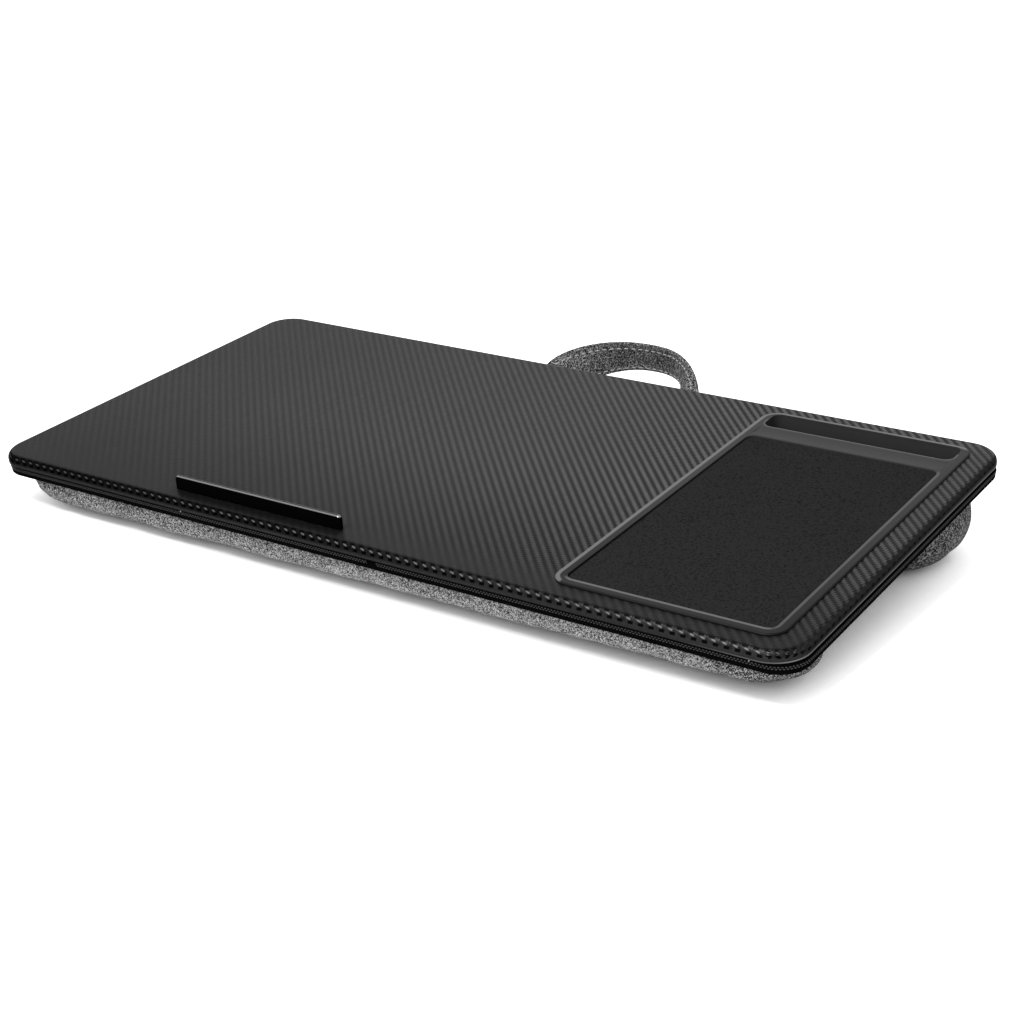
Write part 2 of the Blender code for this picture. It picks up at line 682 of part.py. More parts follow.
def make_handle(material):
    """The loop turns up about its top edge, just behind the board, where the sewn tabs hold it."""
    hinge = (0, HINGE_Y, HINGE_Z)
    add_piece("handle_strap", strap_loft(loop_path()), material, hinge)
    add_piece("handle_tab_left", strap_loft(tab_path(-1)), material, hinge)
    add_piece("handle_tab_right", strap_loft(tab_path(1)), material, hinge)


def stand_on_floor():
    """Tilts the board's frame by the slope, so that the cushions' feet lie on Z = 0, and moves it
    so that the middle of the desk's footprint box is over the origin."""
    BOARD_FRAME.rotation_euler = (SLOPE, 0, 0)
    BOARD_FRAME.location = (0, 0, CENTRE_HEIGHT * math.cos(SLOPE))
    bpy.context.view_layer.update()
    graph = bpy.context.evaluated_depsgraph_get()
    reach = []
    for piece in BOARD_FRAME.children:
        if piece.name in CUTTERS.objects:
            continue
        shown = piece.evaluated_get(graph)
        reach += [(shown.matrix_world @ vertex.co).y for vertex in shown.data.vertices]
    BOARD_FRAME.location.y = -(min(reach) + max(reach)) / 2
    bpy.context.view_layer.update()


clear_scene()
DESK = new_collection("lap_desk")
CUTTERS = new_collection("cutters")
BOARD_FRAME = bpy.data.objects.new("board_frame", None)
DESK.objects.link(BOARD_FRAME)

CARBON_VINYL = principled("carbon_vinyl", (0.045, 0.045, 0.047), 0.42)
FIBREBOARD = principled("fibreboard", (0.32, 0.22, 0.13), 0.8)
MOULDED_BLACK = principled("moulded_black", (0.055, 0.055, 0.056), 0.5)
PAD_CLOTH_BLACK = principled("pad_cloth_black", (0.018, 0.018, 0.019), 0.85)
FOAM_BLACK = principled("foam_black", (0.02, 0.02, 0.02), 0.95)
GLOSS_BLACK = principled("gloss_black", (0.008, 0.008, 0.009), 0.12)
ZINC_STEEL = principled("zinc_steel", (0.55, 0.55, 0.57), 0.35, 1.0)
WOVEN_BLACK = principled("woven_black", (0.012, 0.012, 0.013), 0.9)
HEATHER_GREY = principled("heather_grey", (0.11, 0.11, 0.115), 0.95)
POLYESTER_FILL = principled("polyester_fill", (0.8, 0.8, 0.78), 1.0)

make_top_board(FIBREBOARD)
make_top_wrap(CARBON_VINYL)
make_tray(MOULDED_BLACK)
make_mouse_pad(PAD_CLOTH_BLACK, FOAM_BLACK)
make_device_ledge(GLOSS_BLACK, ZINC_STEEL)
make_base_board(FIBREBOARD)
make_base_cover(WOVEN_BLACK)
make_edge_tape(WOVEN_BLACK)
make_board_screws(ZINC_STEEL)
make_cushion_panel(HEATHER_GREY)
make_cushion("front_cushion", FRONT_CUSHION, HEATHER_GREY, POLYESTER_FILL)
make_cushion("rear_cushion", REAR_CUSHION, HEATHER_GREY, POLYESTER_FILL)
make_handle(HEATHER_GREY)
stand_on_floor()
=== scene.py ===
"""Finishes of the lap desk: the wrapped board, tray, mouse pad, ledge, edge band, cushions and
carrying handle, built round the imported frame, with a plain stage to show them on.

Board space is the desk's own flat frame: the origin in the middle of the work surface, X to the
right, Y to the back and Z square to the surface. Meshes are made there and then tilted as a whole.
"""

import math

import bmesh
import bpy
import numpy as np
from bpy.props import FloatProperty, FloatVectorProperty, IntProperty, PointerProperty
from mathutils import Matrix, Vector


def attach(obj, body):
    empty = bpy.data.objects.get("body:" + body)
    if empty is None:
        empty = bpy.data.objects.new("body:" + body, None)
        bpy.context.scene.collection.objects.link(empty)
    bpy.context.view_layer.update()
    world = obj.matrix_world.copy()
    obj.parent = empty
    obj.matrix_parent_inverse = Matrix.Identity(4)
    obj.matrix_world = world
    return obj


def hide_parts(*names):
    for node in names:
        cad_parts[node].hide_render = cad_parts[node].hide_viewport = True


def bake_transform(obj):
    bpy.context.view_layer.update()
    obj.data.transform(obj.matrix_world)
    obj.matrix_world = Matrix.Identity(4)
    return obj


bl_info = {
    "name": "Lap Desk Finishes",
    "version": (1, 0, 0),
    "blender": (4, 5, 0),
    "location": "View3D > Sidebar > Lap Desk",
    "description": "Dresses a lap desk: board, tray, cushions, handle and stage",
    "category": "Object",
}

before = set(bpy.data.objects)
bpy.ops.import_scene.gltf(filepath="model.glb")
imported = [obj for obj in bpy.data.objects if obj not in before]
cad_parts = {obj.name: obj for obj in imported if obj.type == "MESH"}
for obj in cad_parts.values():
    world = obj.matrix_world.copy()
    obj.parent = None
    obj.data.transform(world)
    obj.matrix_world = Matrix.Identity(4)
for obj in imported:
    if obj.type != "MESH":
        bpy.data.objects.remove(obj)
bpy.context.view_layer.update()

MM = 0.001
CLEARANCE = 0.3 * MM
SLOPE = math.radians(5.5)
TURN = Matrix.Rotation(SLOPE, 4, "X")


def turned_points(node):
    """A node's points in axes that are turned with the board, as an array."""
    back = np.array(TURN.to_3x3().transposed())
    return np.array([v.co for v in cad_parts[node].data.vertices]) @ back.T


def board_matrix():
    """Board space to the row's frame, found from where the wrap lies."""
    points = turned_points("top_wrap")
    low, high = points.min(0), points.max(0)
    origin = Vector(((low[0] + high[0]) / 2, (low[1] + high[1]) / 2, high[2]))
    return TURN @ Matrix.Translation(origin)


BOARD = board_matrix()


def board_box(node):
    """Lowest and highest corner of a node, in board space."""
    points = turned_points(node)
    origin = TURN.inverted() @ BOARD.translation
    return Vector(points.min(0)) - origin, Vector(points.max(0)) - origin


def size_property(name, default, description):
    return FloatProperty(
        name=name, default=default, description=description, unit="LENGTH", precision=5, min=0
    )


def share_property(name, default, description, low=0.0, high=1.0):
    return FloatProperty(
        name=name, default=default, description=description, subtype="FACTOR", min=low, max=high
    )


def colour_property(name, grey, description):
    colour = grey if isinstance(grey, tuple) else (grey, grey, grey)
    return FloatVectorProperty(
        name=name, default=colour, description=description, subtype="COLOR", size=3, min=0, max=1
    )


class LAPDESK_PG_board(bpy.types.PropertyGroup):
    """The board's wrap of carbon-patterned film"""

    corner: size_property("Corner radius", 22 * MM, "Radius of the board's corners in plan")
    edge_round: size_property("Edge rounding", 4.8 * MM, "Radius of the upper edge")
    lip_round: size_property("Lip rounding", 1.5 * MM, "Radius of the lower edge")
    film: size_property("Film thickness", 0.9 * MM, "Thickness of the wrapped film")
    hem: size_property("Hem", 8 * MM, "Width of the film that is turned under")
    cell: size_property("Weave cell", 1.64 * MM, "Width of one upright tow in the printed weave")
    cell_long: size_property("Long weave cell", 1.85 * MM, "Width of one level tow in the printed weave")
    relief: size_property("Weave relief", 0.05 * MM, "Depth of the embossed weave")
    light: colour_property("Light tow", 0.09, "Colour of the tows that run front to back")
    dark: colour_property("Dark tow", 0.001, "Colour of the tows that run side to side")
    # Tones of the smooth film below the floats, which the film's shader scales with painted light and shade
    lip: colour_property(
        "Lip", 0.037, "Colour of the film where it is drawn smooth over the front's lower edge"
    )
    drawn: colour_property(
        "Drawn film", 0.031, "Colour of the film where it is drawn over the sides and the back"
    )
    # Painted highlights: the glint on the front edge's floats and the line along the lower edge
    glint: colour_property("Glint", 0.3, "Colour of the floats that catch the light on the front edge")
    lip_highlight: colour_property("Lip line", 0.13, "Colour of the line of light on the lower edge")
    roughness: share_property("Roughness", 0.4, "Roughness of the film")


class LAPDESK_PG_tray(bpy.types.PropertyGroup):
    """The moulded tray, its mouse pad and its slot"""

    corner: size_property("Corner radius", 12 * MM, "Radius of the tray's outer corners")
    rim: size_property("Rim width", 7 * MM, "Width of the rim at the sides and the front")
    rear_rim: size_property("Rear rim", 3 * MM, "Width of the rim behind the slot")
    bar: size_property("Bar", 18 * MM, "Width of the bar between the pad and the slot")
    slot: size_property("Slot width", 22 * MM, "Width of the phone slot")
    slot_depth: size_property("Slot depth", 12.4 * MM, "Depth of the phone slot below the rim")
    slot_corner: size_property("Slot corner", 6.5 * MM, "Radius of the slot's ends")
    wall: size_property("Wall", 1.5 * MM, "Thickness of the moulding")
    edge: size_property("Edge rounding", 0.55 * MM, "Radius of the moulded edges")
    outer_round: size_property("Outer rounding", 1.0 * MM, "Radius of the rim's outer edge")
    dish: size_property("Dish", 0.35 * MM, "How far the bar is dished")
    pad_corner: size_property("Pad corner", 6 * MM, "Radius of the pad's corners")
    pad_edge: size_property("Pad edge", 0.35 * MM, "Rounding of the pad's cut edge")
    plastic: colour_property("Plastic", 0.034, "Colour of the moulding")
    # Painted highlight on the rim's edges
    edge_highlight: colour_property("Edge shine", 0.21, "Colour of the polished edges")
    cloth: colour_property("Pad cloth", 0.0225, "Colour of the mouse pad")
    pad_gap: size_property("Pad gap", 0.55 * MM, "Gap that shows round the pad")


class LAPDESK_PG_ledge(bpy.types.PropertyGroup):
    """The glossy device ledge"""

    end_round: size_property("End rounding", 2.8 * MM, "Radius of the upper corners at the ends")
    top_round: size_property("Top rounding", 1.35 * MM, "Radius of the long upper edges")
    gloss: colour_property("Gloss black", 0.0015, "Colour of the ledge")
    # Painted highlight on the ledge's upper edge
    edge_highlight: colour_property("Edge shine", 0.35, "Colour of the lit upper edge")


class LAPDESK_PG_band(bpy.types.PropertyGroup):
    """The woven band round the base, and the base's cloth"""

    round: size_property("Band rounding", 0.9 * MM, "Rounding of the band's upper and lower fold")
    bead_pitch: size_property("Bead pitch", 2.1 * MM, "Distance between the knots of the band")
    bead_length: size_property("Bead length", 1.45 * MM, "Length of a knot")
    bead_width: size_property("Bead width", 0.85 * MM, "Width of a knot")
    bead_step: size_property("Bead row step", 1.15 * MM, "Distance between the rows of knots")
    bead_top: size_property(
        "Bead top", 1.8 * MM, "Distance of the first row of knots below the band's upper edge"
    )
    bead_rows: IntProperty(
        name="Bead rows", default=2, min=1, max=5, description="Rows of knots along the band"
    )
    side_reach: size_property(
        "Side reach", 2.7 * MM, "How far the base is drawn out to the band at its sides"
    )
    skirt: size_property("Skirt", 1.0 * MM, "How far the band hangs past the base")
    lap_x: size_property("Lap place", 21 * MM, "Where the band's ends lap, from the middle")
    lap: size_property("Lap length", 7 * MM, "How far the band's ends lap")
    thread: size_property("Twill thread", 0.45 * MM, "Width of a thread in the band's twill")
    black: colour_property("Black thread", 0.004, "Colour of the band")
    knot: colour_property("Knot", 0.1, "Colour of the knots along the band")
    thread_end: size_property("Thread end", 1.5 * MM, "Length of the loose thread ends at the band")


class LAPDESK_PG_cushion(bpy.types.PropertyGroup):
    """The two cushions and the cloth panel that they are sewn to"""

    voxel: size_property("Remesh size", 5 * MM, "Size of the mesh that is inflated")
    pressure: FloatProperty(
        name="Pressure", default=2.2, min=0, max=20, description="Pressure that fills a cover"
    )
    spare_cloth: share_property(
        "Spare cloth", 0.012, "Share by which the cover is wider than its form", 0, 0.2
    )
    cap: size_property("Cap", 2 * MM, "How far the filling may push the cover")
    front_corner: size_property(
        "Front cushion's front corner", 32.6 * MM, "Radius of its two corners in front"
    )
    front_back_corner: size_property(
        "Front cushion's back corner", 82 * MM, "Radius of its two corners at the back"
    )
    front_settle: size_property(
        "Front settle", 11 * MM, "How far the front foot has settled back on the right"
    )
    front_swell: size_property("Front swell", 3 * MM, "How far the front cushion's right end swells")
    front_foot_draw: size_property("Front foot draw", 19 * MM, "How far the ends of its foot are drawn in")
    rear_swell: size_property("Rear end swell", 6 * MM, "How far the rear cushion's ends swell")
    thread: size_property("Thread", 0.62 * MM, "Width of a yarn in the heather cloth")
    light: colour_property("Light yarn", 0.85, "Colour of the light yarns")
    dark: colour_property("Dark yarn", 0.012, "Colour of the dark yarns")


class LAPDESK_PG_handle(bpy.types.PropertyGroup):
    """The sewn carrying handle"""

    half_span: size_property(
        "Half span", 53.4 * MM, "Half the distance between the middles of the loop's ends"
    )
    reach: size_property("Reach", 66 * MM, "How far the loop's middle line stands out behind the hinge line")
    rise: size_property("Rise", 4.7 * MM, "How far the middle line rises to the crest")
    width: size_property("Strap width", 26 * MM, "Width of the strap")
    thickness: size_property("Strap thickness", 2.6 * MM, "Thickness of the strap")
    lead: size_property("Lead", 13.6 * MM, "Flat length where the loop leaves the desk")
    tab: size_property("Tab", 20 * MM, "Length of each sewn end")
    bend: size_property("Bend", 3.4 * MM, "Radius between a sewn end and the loop")
    root_lean: FloatProperty(
        name="Root lean", default=math.radians(-90), subtype="ANGLE",
        description="Turn of the strap at its ends"
    )
    crest_lean: FloatProperty(
        name="Crest lean", default=math.radians(19.6), subtype="ANGLE",
        description="Turn of the strap at the crest"
    )
    roundness: FloatProperty(name="Roundness", default=1.72, min=1, max=3, description="Fullness of the loop")
    squareness: FloatProperty(
        name="Squareness", default=0.84, min=0.5, max=1.2, description="Squareness of the loop"
    )
    upper_seam: size_property("Upper seam", 5.4 * MM, "Distance of the upper stitches from the edge")
    lower_seam: size_property("Lower seam", 3.0 * MM, "Distance of the lower stitches from the edge")
    stitch_pitch: size_property("Stitch pitch", 5.4 * MM, "Distance from stitch to stitch")
    stitch: size_property("Stitch length", 3.8 * MM, "Length of one stitch")
    thread: size_property("Thread width", 1.0 * MM, "Width of the sewing thread")
    yarn: size_property("Yarn", 0.6 * MM, "Width of a yarn in the strap's cloth")
    light: colour_property("Light yarn", 0.72, "Colour of the strap's light yarns")
    dark: colour_property("Dark yarn", 0.008, "Colour of the strap's dark yarns")
    thread_colour: colour_property("Thread", 0.66, "Colour of the sewing thread")


class LAPDESK_PG_stage(bpy.types.PropertyGroup):
    """The floor, the lights and the camera"""

    camera_x: FloatProperty(
        name="Camera X", default=0.6763482, unit="LENGTH", description="Camera's place, X"
    )
    camera_y: FloatProperty(
        name="Camera Y", default=-1.0220056, unit="LENGTH", description="Camera's place, Y"
    )
    camera_z: FloatProperty(name="Camera Z", default=0.4579084, unit="LENGTH", description="Camera's height")
    camera_pitch: FloatProperty(
        name="Camera pitch", default=math.radians(69.334097), subtype="ANGLE",
        description="Turn from straight down"
    )
    camera_heading: FloatProperty(
        name="Camera heading", default=math.radians(33.635396), subtype="ANGLE",
        description="Turn about the upright"
    )
    lens: FloatProperty(
        name="Lens", default=67.0782, min=1, max=300, description="Focal length on a 36 mm sensor"
    )
    ambient: FloatProperty(
        name="Ambient", default=0.32, min=0, max=2, description="Strength of the even light"
    )
    key: FloatProperty(
        name="Key light", default=37.0, min=0, max=200, unit="POWER", description="Power of the main lamp"
    )
    front: FloatProperty(
        name="Front light", default=6.0, min=0, max=200, unit="POWER", description="Power of the front lamp"
    )


def desk_settings(context, group):
    return getattr(context.scene, "lapdesk_" + group)


class ShaderTree:
    """A material's node tree, with short calls for the nodes that the finishes use."""

    def __init__(self, name):
        self.material = bpy.data.materials.new(name)
        self.material.use_nodes = True
        self.tree = self.material.node_tree
        self.surface = self.tree.nodes["Principled BSDF"]
        self.surface.inputs["Specular IOR Level"].default_value = 0.1

    def node(self, kind, **settings):
        made = self.tree.nodes.new("ShaderNode" + kind)
        for key, value in settings.items():
            setattr(made, key, value)
        return made

    def feed(self, socket, value):
        """Sets a socket to a number or colour, or links another socket to it."""
        if isinstance(value, bpy.types.NodeSocket):
            self.tree.links.new(value, socket)
        elif hasattr(value, "__len__") and len(value) == 3 and socket.type == "RGBA":
            socket.default_value = (*value, 1.0)
        else:
            socket.default_value = value

    def math(self, operation, a, b=0.0, clamp=False):
        made = self.node("Math", operation=operation, use_clamp=clamp)
        self.feed(made.inputs[0], a)
        self.feed(made.inputs[1], b)
        return made.outputs[0]

    def mix(self, share, a, b):
        made = self.node("Mix", data_type="FLOAT")
        self.feed(made.inputs[0], share)
        self.feed(made.inputs[2], a)
        self.feed(made.inputs[3], b)
        return made.outputs[0]

    def mix_colour(self, share, a, b):
        made = self.node("Mix", data_type="RGBA")
        self.feed(made.inputs[0], share)
        self.feed(made.inputs[6], a)
        self.feed(made.inputs[7], b)
        return made.outputs[2]

    def join(self, x, y, z=0.0):
        made = self.node("CombineXYZ")
        for socket, value in zip(made.inputs, (x, y, z)):
            self.feed(socket, value)
        return made.outputs[0]

    def split(self, vector):
        made = self.node("SeparateXYZ")
        self.feed(made.inputs[0], vector)
        return made.outputs

    def uv(self, name):
        return self.node("UVMap", uv_map=name).outputs["UV"]

    def object_place(self):
        return self.node("TexCoord").outputs["Object"]

    def board_place(self):
        """Place in board space."""
        made = self.node("Mapping", vector_type="POINT")
        self.feed(made.inputs["Vector"], self.object_place())
        back = BOARD.inverted()
        made.inputs["Location"].default_value = back.translation
        made.inputs["Rotation"].default_value = back.to_euler()
        return self.split(made.outputs["Vector"])

    def outside_distance(self, x, y, centre, half, corner):
        """Distance outside a rounded rectangle, and negative inside it."""
        parts = []
        for value, middle, reach in ((x, centre.x, half.x), (y, centre.y, half.y)):
            away = self.math("ABSOLUTE", self.math("SUBTRACT", value, middle))
            parts.append(self.math("SUBTRACT", away, reach - corner))
        squares = [self.math("POWER", self.math("MAXIMUM", part, 0.0), 2.0) for part in parts]
        outside = self.math("SQRT", self.math("ADD", *squares))
        inside = self.math("MINIMUM", self.math("MAXIMUM", *parts), 0.0)
        return self.math("SUBTRACT", self.math("ADD", outside, inside), corner)

    def within(self, value, low, high, soft):
        """1 between low and high, with soft ends."""
        rising = self.between(value, low - soft, low)
        return self.math("SUBTRACT", rising, self.between(value, high, high + soft))

    def noise(self, vector, scale, detail=2.0, roughness=0.5):
        made = self.node("TexNoise")
        self.feed(made.inputs["Vector"], vector)
        self.feed(made.inputs["Scale"], scale)
        self.feed(made.inputs["Detail"], detail)
        self.feed(made.inputs["Roughness"], roughness)
        return made.outputs["Fac"]

    def white(self, vector):
        made = self.node("TexWhiteNoise")
        self.feed(made.inputs["Vector"], vector)
        return made.outputs["Value"]

    def between(self, value, low, high):
        """0 below low and 1 above high, with a smooth change."""
        made = self.node("MapRange", interpolation_type="SMOOTHSTEP")
        for socket, given in zip(made.inputs, (value, low, high)):
            self.feed(socket, given)
        return made.outputs["Result"]

    def wave_between(self, value):
        """A rounded hump for each whole step of value: 0 at the steps and 1 half way."""
        part = self.math("FRACT", value)
        centred = self.math("SUBTRACT", self.math("MULTIPLY", part, 2.0), 1.0)
        return self.math("SUBTRACT", 1.0, self.math("MULTIPLY", centred, centred))

    def leaning(self, direction):
        """Cosine between the surface and a direction in board space."""
        lean = self.node("VectorMath", operation="DOT_PRODUCT")
        self.feed(lean.inputs[0], self.node("NewGeometry").outputs["Normal"])
        lean.inputs[1].default_value = BOARD.to_3x3() @ Vector(direction).normalized()
        return lean.outputs["Value"]

    def edge_facing(self, low, high):
        """1 where a surface leans from the board's up direction by less than low but more than high
        allows, both given as cosines, which picks out rounded edges."""
        facing = self.leaning((0, 0, 1))
        rising = self.between(facing, low - 0.15, low)
        falling = self.math("SUBTRACT", 1.0, self.between(facing, high, min(high + 0.04, 1.0)))
        return self.math("MULTIPLY", rising, falling)

    def bump(self, height, distance, strength=1.0, normal=None):
        made = self.node("Bump")
        self.feed(made.inputs["Strength"], strength)
        self.feed(made.inputs["Distance"], distance)
        self.feed(made.inputs["Height"], height)
        if normal is not None:
            self.feed(made.inputs["Normal"], normal)
        return made.outputs["Normal"]

    def finish(self, colour, roughness, normal=None, **surface):
        self.feed(self.surface.inputs["Base Color"], colour)
        self.feed(self.surface.inputs["Roughness"], roughness)
        if normal is not None:
            self.feed(self.surface.inputs["Normal"], normal)
        for name, value in surface.items():
            self.feed(self.surface.inputs[name.replace("_", " ")], value)
        return self.material


def carbon_film(board, lip_start):
    """A two-by-two twill of flat tows, embossed in satin film. Its UV map is in metres, and a second
    one holds the length past the board's upper edge. There the level floats stand up in rows: the
    second and fourth rows get painted shade and the third gets painted glints. The film also gets
    painted light and shade by place, and a painted highlight line runs along the lower edge."""
    shade = ShaderTree("carbon_film")
    u, v, _ = shade.split(shade.uv("film"))
    fall = shade.split(shade.uv("fall"))[0]
    first_row = 0.27
    u = shade.math("DIVIDE", u, board.cell)
    v = shade.math("SUBTRACT", shade.math("DIVIDE", v, board.cell_long), first_row)
    column, row = shade.math("FLOOR", u), shade.math("FLOOR", v)
    turn = shade.math("FRACT", shade.math("DIVIDE", shade.math("ADD", column, row), 4.0))
    upright = shade.math("LESS_THAN", turn, 0.5)
    level = shade.math("SUBTRACT", 1.0, upright)
    crown = shade.mix(upright, shade.wave_between(v), shade.wave_between(u))
    float_upright = shade.wave_between(shade.math("DIVIDE", shade.math("ADD", column, v), 2.0))
    level_run = shade.math("DIVIDE", shade.math("ADD", u, row), 2.0)
    float_level = shade.wave_between(level_run)
    ribs = shade.mix(
        upright, shade.wave_between(shade.math("MULTIPLY", v, 3.0)), shade.wave_between(
            shade.math("MULTIPLY", u, 3.0)
        )
    )
    relief = shade.math("ADD", crown, shade.mix(upright, float_level, float_upright))
    relief = shade.math("ADD", relief, shade.math("MULTIPLY", ribs, 0.35))
    # The level top gets painted light and shade by place: the weave's contrast grows to the right and drops
    # on the right side, and painted shade darkens it to the front and the left
    place = shade.object_place()
    x, y, _ = shade.board_place()
    patch = shade.noise(place, 9.0, 3.0)
    tow_tone = shade.white(shade.join(
        shade.mix(upright, 0.5, column), shade.mix(upright, row, 0.5), upright,
    ))
    # Painted light that grows from the left to the right, for contrast and shade
    side = shade.between(x, -0.34, 0.12)
    middle = tuple((a + b) / 2 for a, b in zip(board.dark, board.light))
    tone = shade.mix_colour(upright, tuple(board.dark), tuple(board.light))
    contrast = shade.math("ADD", 0.3, shade.math("MULTIPLY", side, 0.3))
    contrast = shade.math("ADD", contrast, shade.math("MULTIPLY", shade.between(x, 0.0, 0.14), 0.36))
    contrast = shade.math("MULTIPLY", contrast, shade.mix(shade.between(x, 0.27, 0.285), 1.0, 0.78))
    # Painted shade: the weave's contrast is calmed towards the front
    front_calm = shade.mix(shade.between(y, -0.146, -0.118), 0.4, 1.0)
    tone = shade.mix_colour(shade.math("MULTIPLY", contrast, front_calm), middle, tone)
    shaded = shade.math("ADD", 0.47, shade.math("MULTIPLY", crown, 0.44))
    shaded = shade.math("ADD", shaded, shade.math("MULTIPLY", ribs, 0.12))
    shaded = shade.math("ADD", shaded, shade.math("MULTIPLY", tow_tone, 0.18))
    shaded = shade.math("MULTIPLY", shaded, shade.math("ADD", 0.82, shade.math("MULTIPLY", patch, 0.36)))
    # Painted shade that darkens the film towards the front
    painted_front_shade = shade.math("ADD", 0.3, shade.math("MULTIPLY", shade.between(y, -0.165, 0.015), 0.62))
    shaded = shade.math("MULTIPLY", shaded, painted_front_shade)
    shaded = shade.math("MULTIPLY", shaded, shade.math("ADD", 0.42, shade.math("MULTIPLY", side, 0.58)))
    # Painted shadow of the ledge on the strip of film in front of it
    ledge_low, ledge_high = board_box("device_ledge")
    beside_ledge = shade.within(x, ledge_low.x, ledge_high.x, 3 * MM)
    before_ledge = shade.within(y, ledge_low.y - 1 * MM, ledge_high.y, 9 * MM)
    shaded = shade.math("MULTIPLY", shaded, shade.math(
        "SUBTRACT", 1.0, shade.math("MULTIPLY", shade.math("MULTIPLY", beside_ledge, before_ledge), 0.6),
    ))
    # The rounded edge: painted shade darkens it as it turns down, and rows two and four of the floats get
    # painted shade
    fall_row = shade.math("FLOOR", shade.math("ADD", shade.math("DIVIDE", fall, board.cell_long), first_row))
    at_front = shade.between(shade.math("MULTIPLY", y, -1.0), 0.134, 0.146)
    to_right = shade.between(x, -0.08, 0.26)
    turned = shade.mix(
        at_front, shade.between(fall, 1.0 * MM, 3.4 * MM), shade.between(fall, 0.6 * MM, 2.4 * MM)
    )
    shaded = shade.math("MULTIPLY", shaded, shade.math(
        "SUBTRACT", 1.0, shade.math(
            "MULTIPLY", turned, shade.mix(at_front, 0.5, shade.mix(to_right, 0.9, 0.5))
        ),
    ))
    # Painted shade on the board's right side
    shaded = shade.math("MULTIPLY", shaded, shade.mix(shade.between(x, 0.282, 0.288), 1.0, 0.84))
    second = shade.math("MULTIPLY", shade.math("COMPARE", fall_row, 1.0), shade.mix(at_front, 0.3, 0.75))
    fourth = shade.math("MULTIPLY", shade.math("COMPARE", fall_row, 3.0), shade.mix(at_front, 0.6, 0.9))
    painted_row_shade = shade.math("SUBTRACT", 1.0, shade.math("MULTIPLY", level, shade.math("ADD", second, fourth)))
    colour = shade.mix_colour(shade.math("MULTIPLY", shaded, painted_row_shade), (0, 0, 0), tone)
    # The film drawn smooth below the floats, made metallic, with its own tone at the front and at the other
    # sides; painted light and shade vary that tone by place
    smooth_film = shade.mix(
        at_front, shade.between(fall, 2.2 * MM, 3.6 * MM), shade.between(fall, 1.4 * MM, 2.6 * MM)
    )
    # Painted light and shade on the front's smooth film, varying from left to right and down the edge
    front_share = shade.mix(
        shade.between(fall, 6.8 * MM, 9.0 * MM), shade.mix(to_right, 0.16, 0.5), shade.mix(
            to_right, 0.55, 0.42
        )
    )
    # Painted shade lower down the sides, and a painted highlight just above the lower edge
    side_share = shade.mix(shade.between(fall, 5.0 * MM, 6.2 * MM), 1.0, 0.42)
    side_share = shade.math(
        "ADD", side_share, shade.math("MULTIPLY", shade.between(fall, 7.8 * MM, 9.2 * MM), 2.0)
    )
    wear = shade.mix(shade.between(fall, 5.6 * MM, 7.0 * MM), tow_tone, shade.noise(place, 420.0, 3.0))
    smooth_tone = shade.math("ADD", 0.7, shade.math("MULTIPLY", wear, 0.6))
    smooth_tone = shade.math("MULTIPLY", smooth_tone, painted_row_shade)
    # Painted shade where the film turns under the board
    under = shade.between(fall, lip_start + 0.3 * MM, lip_start + 0.6 * MM)
    smooth_tone = shade.math("MULTIPLY", smooth_tone, shade.math("SUBTRACT", 1.0, under))
    front_tone = shade.mix_colour(
        shade.math("MULTIPLY", smooth_tone, front_share), (0, 0, 0), tuple(board.lip)
    )
    side_tone = shade.mix_colour(
        shade.math("MULTIPLY", smooth_tone, side_share), (0, 0, 0), tuple(board.drawn)
    )
    colour = shade.mix_colour(smooth_film, colour, shade.mix_colour(at_front, side_tone, front_tone))
    # Painted glints on the third row's floats, and a painted highlight line on the lower edge
    third = shade.math("MULTIPLY", shade.math("COMPARE", fall_row, 2.0), at_front)
    drift = shade.math("MULTIPLY", shade.math("SUBTRACT", shade.math("FRACT", level_run), 0.5), 0.5)
    aside = shade.math("ADD", shade.math("SUBTRACT", shade.math("FRACT", v), 0.5), drift)
    across = shade.math("DIVIDE", shade.math("ABSOLUTE", aside), 0.36)
    core = shade.math("SUBTRACT", 1.0, shade.between(across, 0.25, 1.0))
    glint = shade.math("MULTIPLY", shade.math("MULTIPLY", level, core), shade.between(float_level, 0.0, 0.75))
    glint = shade.math("MULTIPLY", glint, third)
    glint = shade.math("MULTIPLY", glint, shade.mix(
        shade.between(x, 0.0, 0.22), shade.mix(shade.between(x, -0.2, -0.05), 0.3, 0.5), 0.33,
    ))
    glint = shade.math("MULTIPLY", glint, shade.math("ADD", 0.45, shade.math("MULTIPLY", tow_tone, 0.55)))
    colour = shade.mix_colour(glint, colour, tuple(board.glint))
    # The line is a painted highlight, brightest on the right
    line = shade.within(fall, lip_start - 0.1 * MM, lip_start + 0.3 * MM, 0.35 * MM)
    line_share = shade.math("MULTIPLY", shade.between(x, 0.22, 0.29), 0.5)
    line_share = shade.math("ADD", line_share, shade.math("MULTIPLY", shade.between(x, 0.285, 0.298), 0.45))
    line = shade.math("MULTIPLY", line, line_share)
    colour = shade.mix_colour(line, colour, tuple(board.lip_highlight))
    roughness = shade.math("ADD", board.roughness - 0.06, shade.math("MULTIPLY", patch, 0.12))
    past_weave = shade.between(fall, 6.2 * MM, 7.4 * MM)
    flat = shade.math("MULTIPLY", relief, shade.math("SUBTRACT", 1.0, past_weave))
    metal = shade.math("MAXIMUM", shade.math("MAXIMUM", glint, line), smooth_film)
    return shade.finish(
        colour, roughness, shade.bump(flat, board.relief), Metallic=metal, Specular_Tint=(0.45, 0.45, 0.45, 1)
    )


